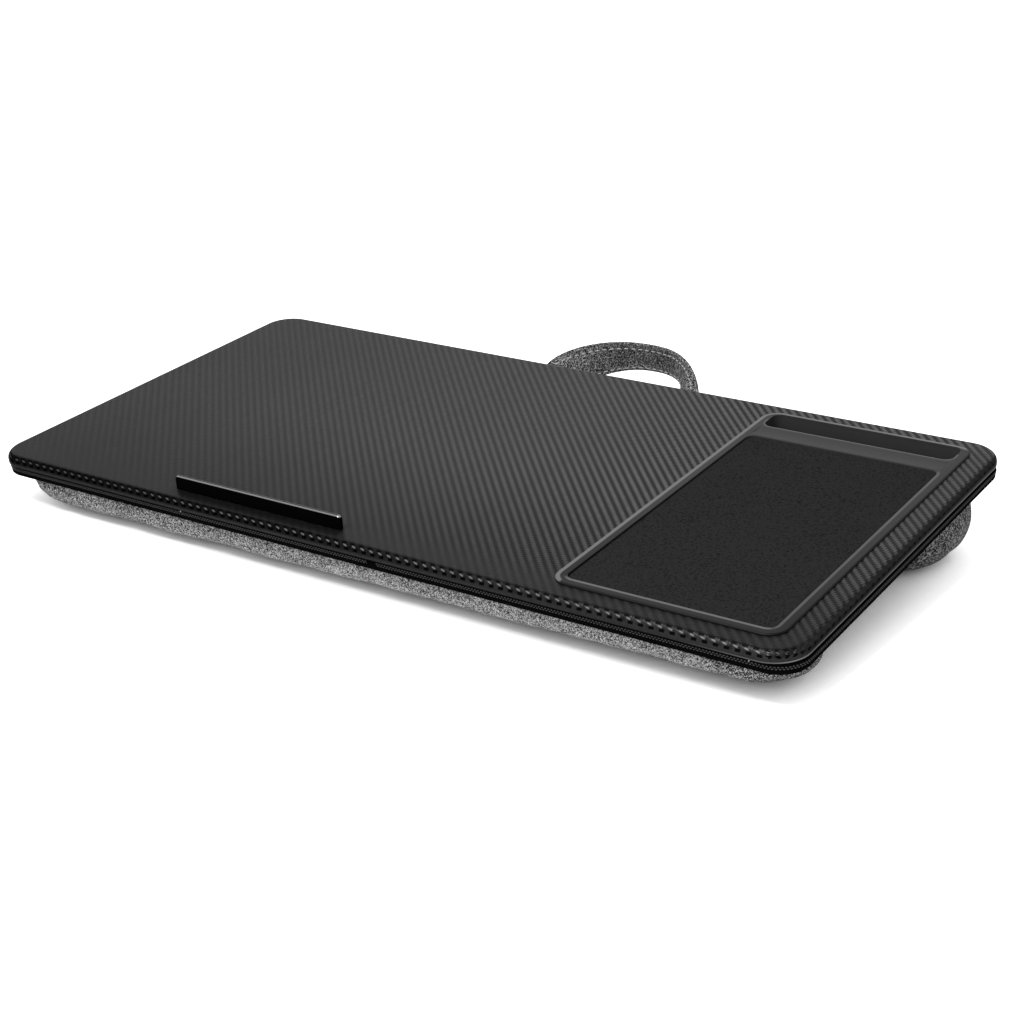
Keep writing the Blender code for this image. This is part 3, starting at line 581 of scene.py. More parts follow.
def tray_plan(tray):
    """Centre and half size, in board space, of the tray, of the pad's seat and of the slot."""
    low, high = board_box("tray")
    pad_low, pad_high = board_box("mouse_pad_cloth")
    half = (high - low).xy / 2
    centre = (high + low).xy / 2
    inner_x = half.x - tray.rim
    seat_centre = Vector((centre.x, (pad_low.y + pad_high.y) / 2))
    seat_half = Vector((inner_x, (pad_high.y - pad_low.y) / 2 + CLEARANCE))
    slot_centre = Vector((centre.x, high.y - tray.rear_rim - tray.slot / 2))
    return (centre, half), (seat_centre, seat_half), (slot_centre, Vector((inner_x, tray.slot / 2)))


def moulded_plastic(tray):
    """Satin moulded plastic with a fine spark-eroded grain and a faint flow pattern. The rim gets
    painted highlights on its edges that lean to the back and the left, and painted shade on its
    edges and walls at the front and the right. The moulding also gets painted shade towards the front
    and on the right, and painted light inside the slot."""
    shade = ShaderTree("moulded_plastic")
    place = shade.object_place()
    x, y, z = shade.board_place()
    whole, seat, slot = tray_plan(tray)
    (centre, half), (slot_centre, _) = whole, slot
    from_edge = shade.math("MULTIPLY", shade.outside_distance(x, y, *whole, tray.corner), -1.0)
    from_seat = shade.outside_distance(x, y, *seat, tray.pad_corner)
    from_slot = shade.outside_distance(x, y, *slot, tray.slot_corner)
    grain = shade.noise(place, 1300.0, 2.0, 0.6)
    flow = shade.noise(place, 45.0, 4.0, 0.6)
    share = shade.math("ADD", 0.66, shade.math("MULTIPLY", flow, 0.34))
    share = shade.math("ADD", share, shade.math("MULTIPLY", grain, 0.26))
    # Painted shade that darkens the moulding towards the front
    share = shade.math("MULTIPLY", share, shade.math(
        "ADD", 0.3, shade.math(
            "MULTIPLY", shade.between(y, centre.y - half.y, centre.y + 0.2 * half.y), 0.66
        ),
    ))
    right = shade.between(x, centre.x + half.x - 9 * MM, centre.x + half.x - 6 * MM)
    left = shade.math(
        "SUBTRACT", 1.0, shade.between(x, centre.x - half.x + 6 * MM, centre.x - half.x + 9 * MM)
    )
    front = shade.math(
        "SUBTRACT", 1.0, shade.between(y, centre.y - half.y + 6 * MM, centre.y - half.y + 9 * MM)
    )
    rear = shade.between(y, centre.y + half.y - 6 * MM, centre.y + half.y - 3 * MM)
    # Painted shade on the right
    share = shade.math("MULTIPLY", share, shade.math("SUBTRACT", 1.0, shade.math("MULTIPLY", right, 0.34)))
    # Painted highlights on the rim's edges that lean to the back and the left, and faintly along the slot's
    # front edge
    outer_light = shade.math("MULTIPLY", shade.within(from_edge, 0.6 * MM, 2.6 * MM, 0.7 * MM), shade.math(
        "MAXIMUM", shade.math("MULTIPLY", left, 0.95), rear,
    ))
    inner_light = shade.math("MULTIPLY", shade.within(from_seat, -0.1 * MM, 1.6 * MM, 0.6 * MM), shade.math(
        "MAXIMUM", shade.math("MULTIPLY", front, 0.68), shade.math("MULTIPLY", right, 0.34),
    ))
    before_slot = shade.math("LESS_THAN", y, slot_centre.y)
    slot_light = shade.math("MULTIPLY", shade.within(from_slot, 0.0, 0.9 * MM, 0.4 * MM), before_slot)
    painted_highlight = shade.math(
        "MAXIMUM", shade.math("MAXIMUM", outer_light, inner_light), shade.math("MULTIPLY", slot_light, 0.4)
    )
    facing = shade.leaning((0, 0, 1))
    painted_highlight = shade.math("MULTIPLY", painted_highlight, shade.between(facing, 0.35, 0.7))
    # Painted shade on the rim's outer edges and walls at the front and the right
    shade_side = shade.math("MAXIMUM", front, right)
    dull = shade.math(
        "MULTIPLY", shade_side, shade.math("SUBTRACT", 1.0, shade.between(from_edge, 0.7 * MM, 1.3 * MM))
    )
    outer_wall = shade.math("MULTIPLY", shade.math("LESS_THAN", from_edge, 1.2 * MM), shade.math(
        "SUBTRACT", 1.0, shade.between(facing, 0.1, 0.5),
    ))
    dull = shade.math("MAXIMUM", dull, outer_wall)
    share = shade.math("MULTIPLY", share, shade.math("SUBTRACT", 1.0, shade.math("MULTIPLY", dull, 0.92)))
    # Painted light inside the slot
    inside_slot = shade.math("LESS_THAN", z, -1 * MM)
    share = shade.math("MULTIPLY", share, shade.math("ADD", 1.0, shade.math("MULTIPLY", inside_slot, 0.35)))
    colour = shade.mix_colour(share, (0, 0, 0), tuple(tray.plastic))
    colour = shade.mix_colour(painted_highlight, colour, tuple(tray.edge_highlight))
    roughness = shade.math("ADD", 0.36, shade.math("MULTIPLY", flow, 0.16))
    return shade.finish(
        colour, roughness, shade.bump(grain, 0.04 * MM), Specular_IOR_Level=0.14, Metallic=painted_highlight
    )


def pad_cloth(tray):
    """Close-knitted mouse pad cloth with a dull, slightly cloudy nap."""
    shade = ShaderTree("pad_cloth")
    x, y, _ = shade.split(shade.object_place())
    thread = 0.4 * MM
    knit_x = shade.wave_between(shade.math("DIVIDE", x, thread))
    knit_y = shade.wave_between(shade.math("DIVIDE", y, thread))
    knit = shade.math("MULTIPLY", knit_x, knit_y)
    nap = shade.between(shade.noise(shade.object_place(), 620.0, 2.0, 0.8), 0.25, 0.75)
    cloud = shade.noise(shade.object_place(), 30.0, 3.0)
    share = shade.math("ADD", 0.1, shade.math("MULTIPLY", nap, 1.5))
    share = shade.math("ADD", share, shade.math("MULTIPLY", cloud, 0.3))
    colour = shade.mix_colour(share, (0, 0, 0), tuple(tray.cloth))
    relief = shade.math("ADD", knit, shade.math("MULTIPLY", nap, 1.5))
    return shade.finish(colour, 0.95, shade.bump(relief, 0.06 * MM), Specular_IOR_Level=0.03)


def gloss_plastic(ledge):
    """Deep gloss black with faint wipe marks, and a painted highlight on its upper rounded edges."""
    shade = ShaderTree("gloss_plastic")
    place = shade.object_place()
    x, y, z = shade.split(place)
    wipe = shade.noise(shade.join(shade.math("MULTIPLY", x, 0.08), y, z), 700.0, 3.0)
    roughness = shade.math("ADD", 0.07, shade.math("MULTIPLY", wipe, 0.08))
    # Painted highlight on the upper rounded edges
    shine = shade.math("MULTIPLY", shade.edge_facing(0.72, 0.98), 0.85)
    colour = shade.mix_colour(shine, tuple(ledge.gloss), tuple(ledge.edge_highlight))
    return shade.finish(
        colour, roughness, shade.bump(shade.noise(place, 60.0), 0.02 * MM),
        Specular_IOR_Level=0.0, Metallic=shine,
    )


def twill_cloth(name, black, thread):
    """Diagonal twill of black threads. Its UV map runs along and across the cloth, in metres."""
    shade = ShaderTree(name)
    u, v, _ = shade.split(shade.uv("cloth"))
    along, across = shade.math("DIVIDE", u, thread), shade.math("DIVIDE", v, thread)
    rib = shade.wave_between(shade.math("DIVIDE", shade.math("ADD", along, across), 2.0))
    yarn = shade.wave_between(across)
    tone = shade.white(shade.join(shade.math("FLOOR", along), shade.math("FLOOR", across)))
    share = shade.math("ADD", 0.35, shade.math("MULTIPLY", rib, 0.6))
    share = shade.math("ADD", share, shade.math("MULTIPLY", tone, 0.35))
    colour = shade.mix_colour(share, (0, 0, 0), tuple(black))
    relief = shade.math("ADD", rib, shade.math("MULTIPLY", yarn, 0.5))
    return shade.finish(colour, 0.85, shade.bump(relief, thread * 0.25), Specular_IOR_Level=0.0)


def heather_cloth(name, thread, dark, light, depth):
    """Plain weave of mixed light and dark yarns. Its UV map is in metres, and depth says how few of
    the yarns are light. Towards the desk's ends, most at the right end, the cloth gets painted shade."""
    shade = ShaderTree(name)
    u, v, _ = shade.split(shade.uv("cloth"))
    along, across = shade.math("DIVIDE", u, thread), shade.math("DIVIDE", v, thread)
    column, row = shade.math("FLOOR", along), shade.math("FLOOR", across)
    over = shade.math("MODULO", shade.math("ABSOLUTE", shade.math("ADD", column, row)), 2.0)
    warp_tone = shade.white(shade.join(column, shade.math("FLOOR", shade.math("DIVIDE", across, 1.7)), 0.2))
    weft_tone = shade.white(shade.join(shade.math("FLOOR", shade.math("DIVIDE", along, 1.7)), row, 0.7))
    tone = shade.mix(over, warp_tone, weft_tone)
    fibre = shade.noise(shade.object_place(), 2200.0, 2.0, 0.7)
    patch = shade.noise(shade.object_place(), 38.0, 3.0)
    tone = shade.math("ADD", tone, shade.math("MULTIPLY", shade.math("SUBTRACT", patch, 0.5), 0.22))
    x = shade.board_place()[0]
    # Painted shade towards the desk's ends, most at the right end
    ends = shade.mix(shade.between(x, 0.22, 0.285), shade.mix(shade.between(x, -0.22, -0.02), 0.6, 0.0), 1.5)
    few = shade.math("ADD", depth, ends)
    share = shade.math("POWER", shade.math("MAXIMUM", tone, 0.0), few)
    colour = shade.mix_colour(share, tuple(dark), tuple(light))
    hump = shade.mix(over, shade.wave_between(along), shade.wave_between(across))
    relief = shade.math("ADD", hump, shade.math("MULTIPLY", fibre, 0.8))
    return shade.finish(
        colour, 0.92, shade.bump(relief, thread * 0.35), Specular_IOR_Level=0.1
    )


def sewing_thread(name, colour):
    """Twisted sewing thread."""
    shade = ShaderTree(name)
    x, y, z = shade.split(shade.object_place())
    twist = shade.wave_between(shade.math("MULTIPLY", shade.math("ADD", shade.math("ADD", x, y), z), 2200.0))
    share = shade.math("ADD", 0.6, shade.math("MULTIPLY", twist, 0.4))
    return shade.finish(
        shade.mix_colour(share, (0, 0, 0), tuple(colour)), 0.7, shade.bump(twist, 0.05 * MM)
    )


def pressed_board():
    """Raw pressed fibre board."""
    shade = ShaderTree("pressed_board")
    place = shade.object_place()
    fibre = shade.noise(place, 900.0, 4.0, 0.7)
    cloud = shade.noise(place, 22.0, 3.0)
    share = shade.math("ADD", shade.math("MULTIPLY", fibre, 0.6), shade.math("MULTIPLY", cloud, 0.4))
    colour = shade.mix_colour(share, (0.2, 0.13, 0.075), (0.42, 0.3, 0.19))
    return shade.finish(colour, 0.85, shade.bump(fibre, 0.1 * MM))


def zinc_plate():
    """Bright zinc plating with fine turning marks."""
    shade = ShaderTree("zinc_plate")
    place = shade.object_place()
    marks = shade.noise(place, 1800.0, 2.0)
    colour = shade.mix_colour(marks, (0.48, 0.48, 0.5), (0.66, 0.66, 0.68))
    roughness = shade.math("ADD", 0.25, shade.math("MULTIPLY", marks, 0.2))
    return shade.finish(colour, roughness, shade.bump(marks, 0.01 * MM), Metallic=1.0)


def outline(half_x, half_y, corner, steps=12):
    """Points round a rounded rectangle, counter-clockwise, each with its outward direction."""
    found = []
    for side_x, side_y, start in ((1, 1, 0), (-1, 1, 90), (-1, -1, 180), (1, -1, 270)):
        centre = Vector((side_x * (half_x - corner), side_y * (half_y - corner)))
        for step in range(steps + 1):
            turn = math.radians(start + 90 * step / steps)
            out = Vector((math.cos(turn), math.sin(turn)))
            found.append((centre + out * corner, out))
    return found


def arc_lengths(points):
    """Distance of each point along a line, from the first."""
    lengths = [0.0]
    for before, after in zip(points, points[1:]):
        lengths.append(lengths[-1] + (after - before).length)
    return lengths


def ring(shape, line, outset, level):
    return [shape.verts.new((*(point + out * outset), level)) for point, out in line]


def bridge(shape, ring_a, ring_b):
    """Quads between two closed rings of as many points."""
    count = len(ring_a)
    for i in range(count):
        j = (i + 1) % count
        shape.faces.new((ring_a[i], ring_a[j], ring_b[j], ring_b[i]))


def cap(shape, line):
    shape.faces.new(line)


def fill_between(shape, ring_a, ring_b):
    """Fills the flat area between an outer ring and a ring inside it."""
    edges = []
    for line in (ring_a, ring_b):
        for a, b in zip(line, line[1:] + line[:1]):
            edges.append(shape.edges.get((a, b)) or shape.edges.new((a, b)))
    bmesh.ops.triangle_fill(shape, use_beauty=True, use_dissolve=False, edges=edges)


def rounded_plate(half_x, half_y, corner, low, high, top_round, steps=5):
    """A closed plate with rounded corners and a rounded upper edge."""
    shape = bmesh.new()
    line = outline(half_x, half_y, corner)
    rings = [ring(shape, line, 0, low)]
    for step in range(steps + 1):
        turn = math.pi / 2 * step / steps
        rings.append(
            ring(shape, line, -top_round * (1 - math.cos(turn)), high - top_round * (1 - math.sin(turn)))
        )
    if top_round:
        rings.append(ring(shape, line, -top_round * 1.5, high))
    for before, after in zip(rings, rings[1:]):
        bridge(shape, before, after)
    cap(shape, rings[0][::-1])
    cap(shape, rings[-1])
    return shape


def shifted(shape, place):
    bmesh.ops.translate(shape, verts=shape.verts, vec=place)
    return shape


def to_object(name, shape):
    """Puts a bmesh into a new object, tidied and with its faces turned outwards."""
    bmesh.ops.recalc_face_normals(shape, faces=shape.faces)
    mesh = bpy.data.meshes.new(name)
    shape.to_mesh(mesh)
    shape.free()
    made = bpy.data.objects.new(name, mesh)
    bpy.context.scene.collection.objects.link(made)
    return made


def applied(piece):
    """The piece's mesh with its modifiers applied, as a mesh of its own."""
    graph = bpy.context.evaluated_depsgraph_get()
    mesh = bpy.data.meshes.new_from_object(piece.evaluated_get(graph))
    piece.modifiers.clear()
    old = piece.data
    piece.data = mesh
    bpy.data.meshes.remove(old)
    return piece


def carved(name, shape, cutters):
    """A new object from a shape, cut or joined with (shape, operation) pairs in order."""
    piece = to_object(name, shape)
    for index, (cutter_shape, operation) in enumerate(cutters):
        cutter = to_object(f"{name}_cutter_{index}", cutter_shape)
        cut = piece.modifiers.new("cut", "BOOLEAN")
        cut.operation = operation
        cut.solver = "EXACT"
        cut.object = cutter
        applied(piece)
        bpy.data.objects.remove(cutter)
    return piece


def round_edges(piece, width, segments=3, angle=math.radians(40)):
    edge = piece.modifiers.new("edges", "BEVEL")
    edge.width = width
    edge.segments = segments
    edge.limit_method = "ANGLE"
    edge.angle_limit = angle
    edge.use_clamp_overlap = True
    edge.harden_normals = False
    return applied(piece)


def smooth(piece, angle=math.radians(35)):
    piece.data.shade_smooth()
    piece.data.set_sharp_from_angle(angle=angle)


def dress(piece, material, body, slot, *replaced, matrix=BOARD):
    """Places a finished mesh, gives it its finish, and lets it ride on its body."""
    piece.data.transform(matrix)
    piece.data.materials.clear()
    piece.data.materials.append(material)
    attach(piece, body)
    if replaced:
        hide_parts(*replaced)
    return piece


def set_uv(mesh, name, values):
    """Writes a UV map from one (u, v) for each vertex."""
    layer = mesh.uv_layers.new(name=name)
    corners = np.zeros(len(mesh.loops), np.int32)
    mesh.loops.foreach_get("vertex_index", corners)
    layer.data.foreach_set("uv", np.asarray(values, np.float32)[corners].ravel())


def set_box_uv(mesh, name):
    """A UV map in metres that looks at each face along the axis that it faces most."""
    layer = mesh.uv_layers.new(name=name)
    for face in mesh.polygons:
        facing = [abs(value) for value in face.normal]
        main = facing.index(max(facing))
        first, second = ((1, 2), (0, 2), (0, 1))[main]
        for corner in face.loop_indices:
            point = mesh.vertices[mesh.loops[corner].vertex_index].co
            layer.data[corner].uv = (point[first], point[second])


def film_profile(board, thickness):
    """The film's section, out over the edge and back inside, as (outset, level, length along it)."""
    edge, lip, film = board.edge_round, board.lip_round, board.film
    steps, lip_steps = 12, 6
    margin = 0.6 * MM
    outside = [(-edge - margin, 0.0, -margin)]
    for step in range(steps + 1):
        turn = math.pi / 2 * step / steps
        outside.append((-edge + edge * math.sin(turn), -edge + edge * math.cos(turn), edge * turn))
    straight = edge * math.pi / 2
    fall = thickness - edge - lip
    for step in range(lip_steps + 1):
        turn = math.pi / 2 * step / lip_steps
        outside.append((
            -lip + lip * math.cos(turn), -thickness + lip - lip * math.sin(turn),
            straight + fall + lip * turn,
        ))
    end = outside[-1][2] + board.hem - lip
    outside.append((-board.hem, -thickness, end))
    inside = [(-board.hem, -thickness + film, end), (-film * 2, -thickness + film, straight + fall)]
    for step in range(lip_steps, -1, -1):
        turn = math.pi / 2 * step / lip_steps
        inner = edge - film
        inside.append((-edge + inner * math.sin(turn), -edge + inner * math.cos(turn), inner * turn))
    inside.append((-edge - margin, -film, -margin))
    return outside, inside


class LAPDESK_OT_wrap(bpy.types.Operator):
    """Build the carbon-patterned film round the board"""

    bl_idname = "lapdesk.wrap"
    bl_label = "Board wrap"

    def execute(self, context):
        board = desk_settings(context, "board")
        low, high = board_box("top_wrap")
        tray_low, tray_high = board_box("tray")
        line = outline(high.x, high.y, board.corner, 16)
        outside, inside = film_profile(board, high.z - low.z)
        shape = bmesh.new()
        unrolled = shape.verts.layers.float_vector.new("unrolled")
        rings = []
        for outset, level, length in outside + inside:
            made = ring(shape, line, outset, level)
            for vert, (point, out) in zip(made, line):
                spread = point - out * board.edge_round + out * length
                vert[unrolled] = (*spread, length)
            rings.append(made)
        for before, after in zip(rings, rings[1:]):
            bridge(shape, before, after)
        window_margin = 1.2 * MM
        window_corner = 10.5 * MM
        window = outline(
            (tray_high.x - tray_low.x) / 2 - window_margin, (tray_high.y - tray_low.y) / 2 - window_margin,
            window_corner,
        )
        centre = Vector(((tray_high.x + tray_low.x) / 2, (tray_high.y + tray_low.y) / 2))
        window = [(point + centre, out) for point, out in window]
        windows = [ring(shape, window, 0, 0), ring(shape, window, 0, -board.film)]
        for made in windows:
            for vert in made:
                vert[unrolled] = (*vert.co.xy, -board.edge_round)
        fill_between(shape, rings[0], windows[0])
        fill_between(shape, rings[-1], windows[1])
        bridge(shape, windows[0], windows[1])
        spread = [tuple(vert[unrolled]) for vert in shape.verts]
        front = high.y - board.edge_round
        piece = to_object("board_wrap", shape)
        set_uv(piece.data, "film", [(across, along + front) for across, along, _ in spread])
        set_uv(piece.data, "fall", [(length, 0) for _, _, length in spread])
        smooth(piece)
        lip_start = board.edge_round * (math.pi / 2 - 1) + high.z - low.z - board.lip_round
        dress(piece, carbon_film(board, lip_start), "desk", "carbon_vinyl", "top_wrap")
        return {"FINISHED"}


class LAPDESK_OT_tray(bpy.types.Operator):
    """Build the moulded tray with its rim, dished bar and phone slot"""

    bl_idname = "lapdesk.tray"
    bl_label = "Tray"

    def execute(self, context):
        tray = desk_settings(context, "tray")
        low, high = board_box("tray")
        half_x, half_y = (high.x - low.x) / 2, (high.y - low.y) / 2
        centre = Vector(((high.x + low.x) / 2, (high.y + low.y) / 2, 0))
        pad_low, pad_high = board_box("mouse_pad_cloth")
        foam_low, _ = board_box("mouse_pad_foam")
        floor = foam_low.z - CLEARANCE
        inner_x = half_x - tray.rim
        lift = 0.06 * MM
        rim = rounded_plate(half_x, half_y, tray.corner, CLEARANCE, high.z, tray.outer_round)
        body_edge = 1.5 * MM
        body = rounded_plate(
            half_x - body_edge, half_y - body_edge, tray.corner - body_edge, floor - tray.wall, high.z / 2, 0
        )
        slot_y = half_y - tray.rear_rim - tray.slot / 2
        slot_floor = high.z - tray.slot_depth
        pocket = rounded_plate(
            inner_x + tray.wall, tray.slot / 2 + tray.wall, tray.slot_corner + tray.wall,
            slot_floor - tray.wall,
            high.z / 2, 0,
        )
        slot = rounded_plate(inner_x, tray.slot / 2, tray.slot_corner, slot_floor, high.z + tray.wall, 0)
        pad_y = (pad_low.y + pad_high.y) / 2 - centre.y
        seat_y = (pad_high.y - pad_low.y) / 2 + CLEARANCE
        seat = rounded_plate(inner_x, seat_y, tray.pad_corner, floor, high.z + tray.wall, 0)
        bar_y = pad_y + seat_y + tray.bar / 2
        dish_half = tray.bar / 2 - 1.6 * MM
        dish_radius = (dish_half ** 2 + tray.dish ** 2) / (2 * tray.dish)
        dish = bmesh.new()
        bmesh.ops.create_cone(
            dish, cap_ends=True, segments=720, radius1=dish_radius, radius2=dish_radius, depth=2 * inner_x,
            matrix=Matrix.Rotation(math.pi / 2, 4, "Y"),
        )
        shifted(dish, (0, bar_y, high.z - tray.dish + dish_radius + lift))
        piece = carved("tray_moulding", rim, [
            (body, "UNION"),
            (shifted(pocket, (0, slot_y, 0)), "UNION"),
            (shifted(slot, (0, slot_y, 0)), "DIFFERENCE"),
            (shifted(seat, (0, pad_y, 0)), "DIFFERENCE"),
        ])
        round_edges(piece, tray.edge)
        bowl = to_object("dish", dish)
        cut = piece.modifiers.new("dish", "BOOLEAN")
        cut.operation = "DIFFERENCE"
        cut.object = bowl
        applied(piece)
        bpy.data.objects.remove(bowl)
        piece.data.transform(Matrix.Translation(centre))
        smooth(piece)
        dress(piece, moulded_plastic(tray), "desk", "moulded_black", "tray")
        return {"FINISHED"}


class LAPDESK_OT_pad(bpy.types.Operator):
    """Build the cloth-faced mouse pad in its seat"""

    bl_idname = "lapdesk.pad"
    bl_label = "Mouse pad"

    def execute(self, context):
        tray = desk_settings(context, "tray")
        low, high = board_box("mouse_pad_cloth")
        foam_low, _ = board_box("mouse_pad_foam")
        centre = (low + high) / 2
        half = (high - low) / 2
        gap = tray.pad_gap
        shape = rounded_plate(
            half.x - gap, half.y - gap, tray.pad_corner - gap, foam_low.z, high.z, tray.pad_edge
        )
        piece = to_object("mouse_pad", shifted(shape, (centre.x, centre.y, 0)))
        smooth(piece)
        dress(piece, pad_cloth(tray), "desk", "pad_cloth_black", "mouse_pad_cloth", "mouse_pad_foam")
        return {"FINISHED"}


class LAPDESK_OT_ledge(bpy.types.Operator):
    """Build the glossy ledge that stops a laptop"""

    bl_idname = "lapdesk.ledge"
    bl_label = "Device ledge"

    def execute(self, context):
        ledge = desk_settings(context, "ledge")
        low, high = board_box("device_ledge")
        shape = bmesh.new()
        bmesh.ops.create_cube(shape, size=1, matrix=Matrix.Diagonal((*(high - low), 1)))
        shifted(shape, (low + high) / 2)
        middle = (low.z + high.z) / 2

        def edges(wanted):
            return [e for e in shape.edges if wanted(e.verts[0].co, e.verts[1].co)]

        def soften(found, radius, steps):
            bmesh.ops.bevel(
                shape, geom=found, offset=radius, offset_type="OFFSET", segments=steps, profile=0.5,
                affect="EDGES", clamp_overlap=False,
            )

        tiny = 0.01 * MM
        soften(edges(lambda a, b: abs(a.x - b.x) < tiny and min(a.z, b.z) > middle), ledge.end_round, 8)
        soften(edges(lambda a, b: abs(a.y - b.y) < tiny and max(a.z, b.z) > middle), ledge.top_round, 6)
        piece = to_object("laptop_ledge", shape)
        smooth(piece, math.radians(30))
        dress(piece, gloss_plastic(ledge), "desk", "gloss_black", "device_ledge")
        return {"FINISHED"}


def stitch_tree():
    """Geometry nodes that lay one rounded stitch at each step along a line of edges."""
    tree = bpy.data.node_groups.new("stitches", "GeometryNodeTree")
    for name, kind in (
        ("Geometry", "NodeSocketGeometry"), ("Pitch", "NodeSocketFloat"), ("Length", "NodeSocketFloat"),
        ("Width", "NodeSocketFloat"), ("Material", "NodeSocketMaterial"),
    ):
        tree.interface.new_socket(name=name, in_out="INPUT", socket_type=kind)
    tree.interface.new_socket(name="Geometry", in_out="OUTPUT", socket_type="NodeSocketGeometry")
    nodes, links = tree.nodes, tree.links
    given = nodes.new("NodeGroupInput")
    to_curve = nodes.new("GeometryNodeMeshToCurve")
    points = nodes.new("GeometryNodeCurveToPoints")
    points.mode = "LENGTH"
    bead = nodes.new("GeometryNodeMeshUVSphere")
    bead.inputs["Segments"].default_value = 6
    bead.inputs["Rings"].default_value = 4
    bead.inputs["Radius"].default_value = 0.5
    scale = nodes.new("ShaderNodeCombineXYZ")
    place = nodes.new("GeometryNodeInstanceOnPoints")
    realize = nodes.new("GeometryNodeRealizeInstances")
    shade = nodes.new("GeometryNodeSetShadeSmooth")
    finish = nodes.new("GeometryNodeSetMaterial")
    out = nodes.new("NodeGroupOutput")
    links.new(given.outputs["Geometry"], to_curve.inputs["Mesh"])
    links.new(to_curve.outputs["Curve"], points.inputs["Curve"])
    links.new(given.outputs["Pitch"], points.inputs["Length"])
    links.new(given.outputs["Width"], scale.inputs["X"])
    links.new(given.outputs["Width"], scale.inputs["Y"])
    links.new(given.outputs["Length"], scale.inputs["Z"])
    links.new(points.outputs["Points"], place.inputs["Points"])
    links.new(points.outputs["Rotation"], place.inputs["Rotation"])
    links.new(bead.outputs["Mesh"], place.inputs["Instance"])
    links.new(scale.outputs["Vector"], place.inputs["Scale"])
    links.new(place.outputs["Instances"], realize.inputs["Geometry"])
    links.new(realize.outputs["Geometry"], shade.inputs["Geometry"])
    links.new(shade.outputs["Geometry"], finish.inputs["Geometry"])
    links.new(given.outputs["Material"], finish.inputs["Material"])
    links.new(finish.outputs["Geometry"], out.inputs["Geometry"])
    return tree


def sewn(name, lines, pitch, length, width, material, closed=False):
    """A piece of stitches along lines of points, as one plain mesh."""
    mesh = bpy.data.meshes.new(name)
    points, edges = [], []
    for line in lines:
        start = len(points)
        points += [tuple(point) for point in line]
        edges += [(i, i + 1) for i in range(start, len(points) - 1)]
        if closed:
            edges.append((len(points) - 1, start))
    mesh.from_pydata(points, edges, [])
    piece = bpy.data.objects.new(name, mesh)
    bpy.context.scene.collection.objects.link(piece)
    tree = bpy.data.node_groups.get("stitches") or stitch_tree()
    sewing = piece.modifiers.new("stitches", "NODES")
    sewing.node_group = tree
    values = {"Pitch": pitch, "Length": length, "Width": width, "Material": material}
    for item in tree.interface.items_tree:
        if item.in_out == "INPUT" and item.name in values:
            sewing[item.identifier] = values[item.name]
    applied(piece)
    piece.data.materials.clear()
    piece.data.materials.append(material)
    return piece


# Where a loose thread end stands at the band, from the middle of the desk
THREAD_END_PLACES = (-132 * MM, 273 * MM)


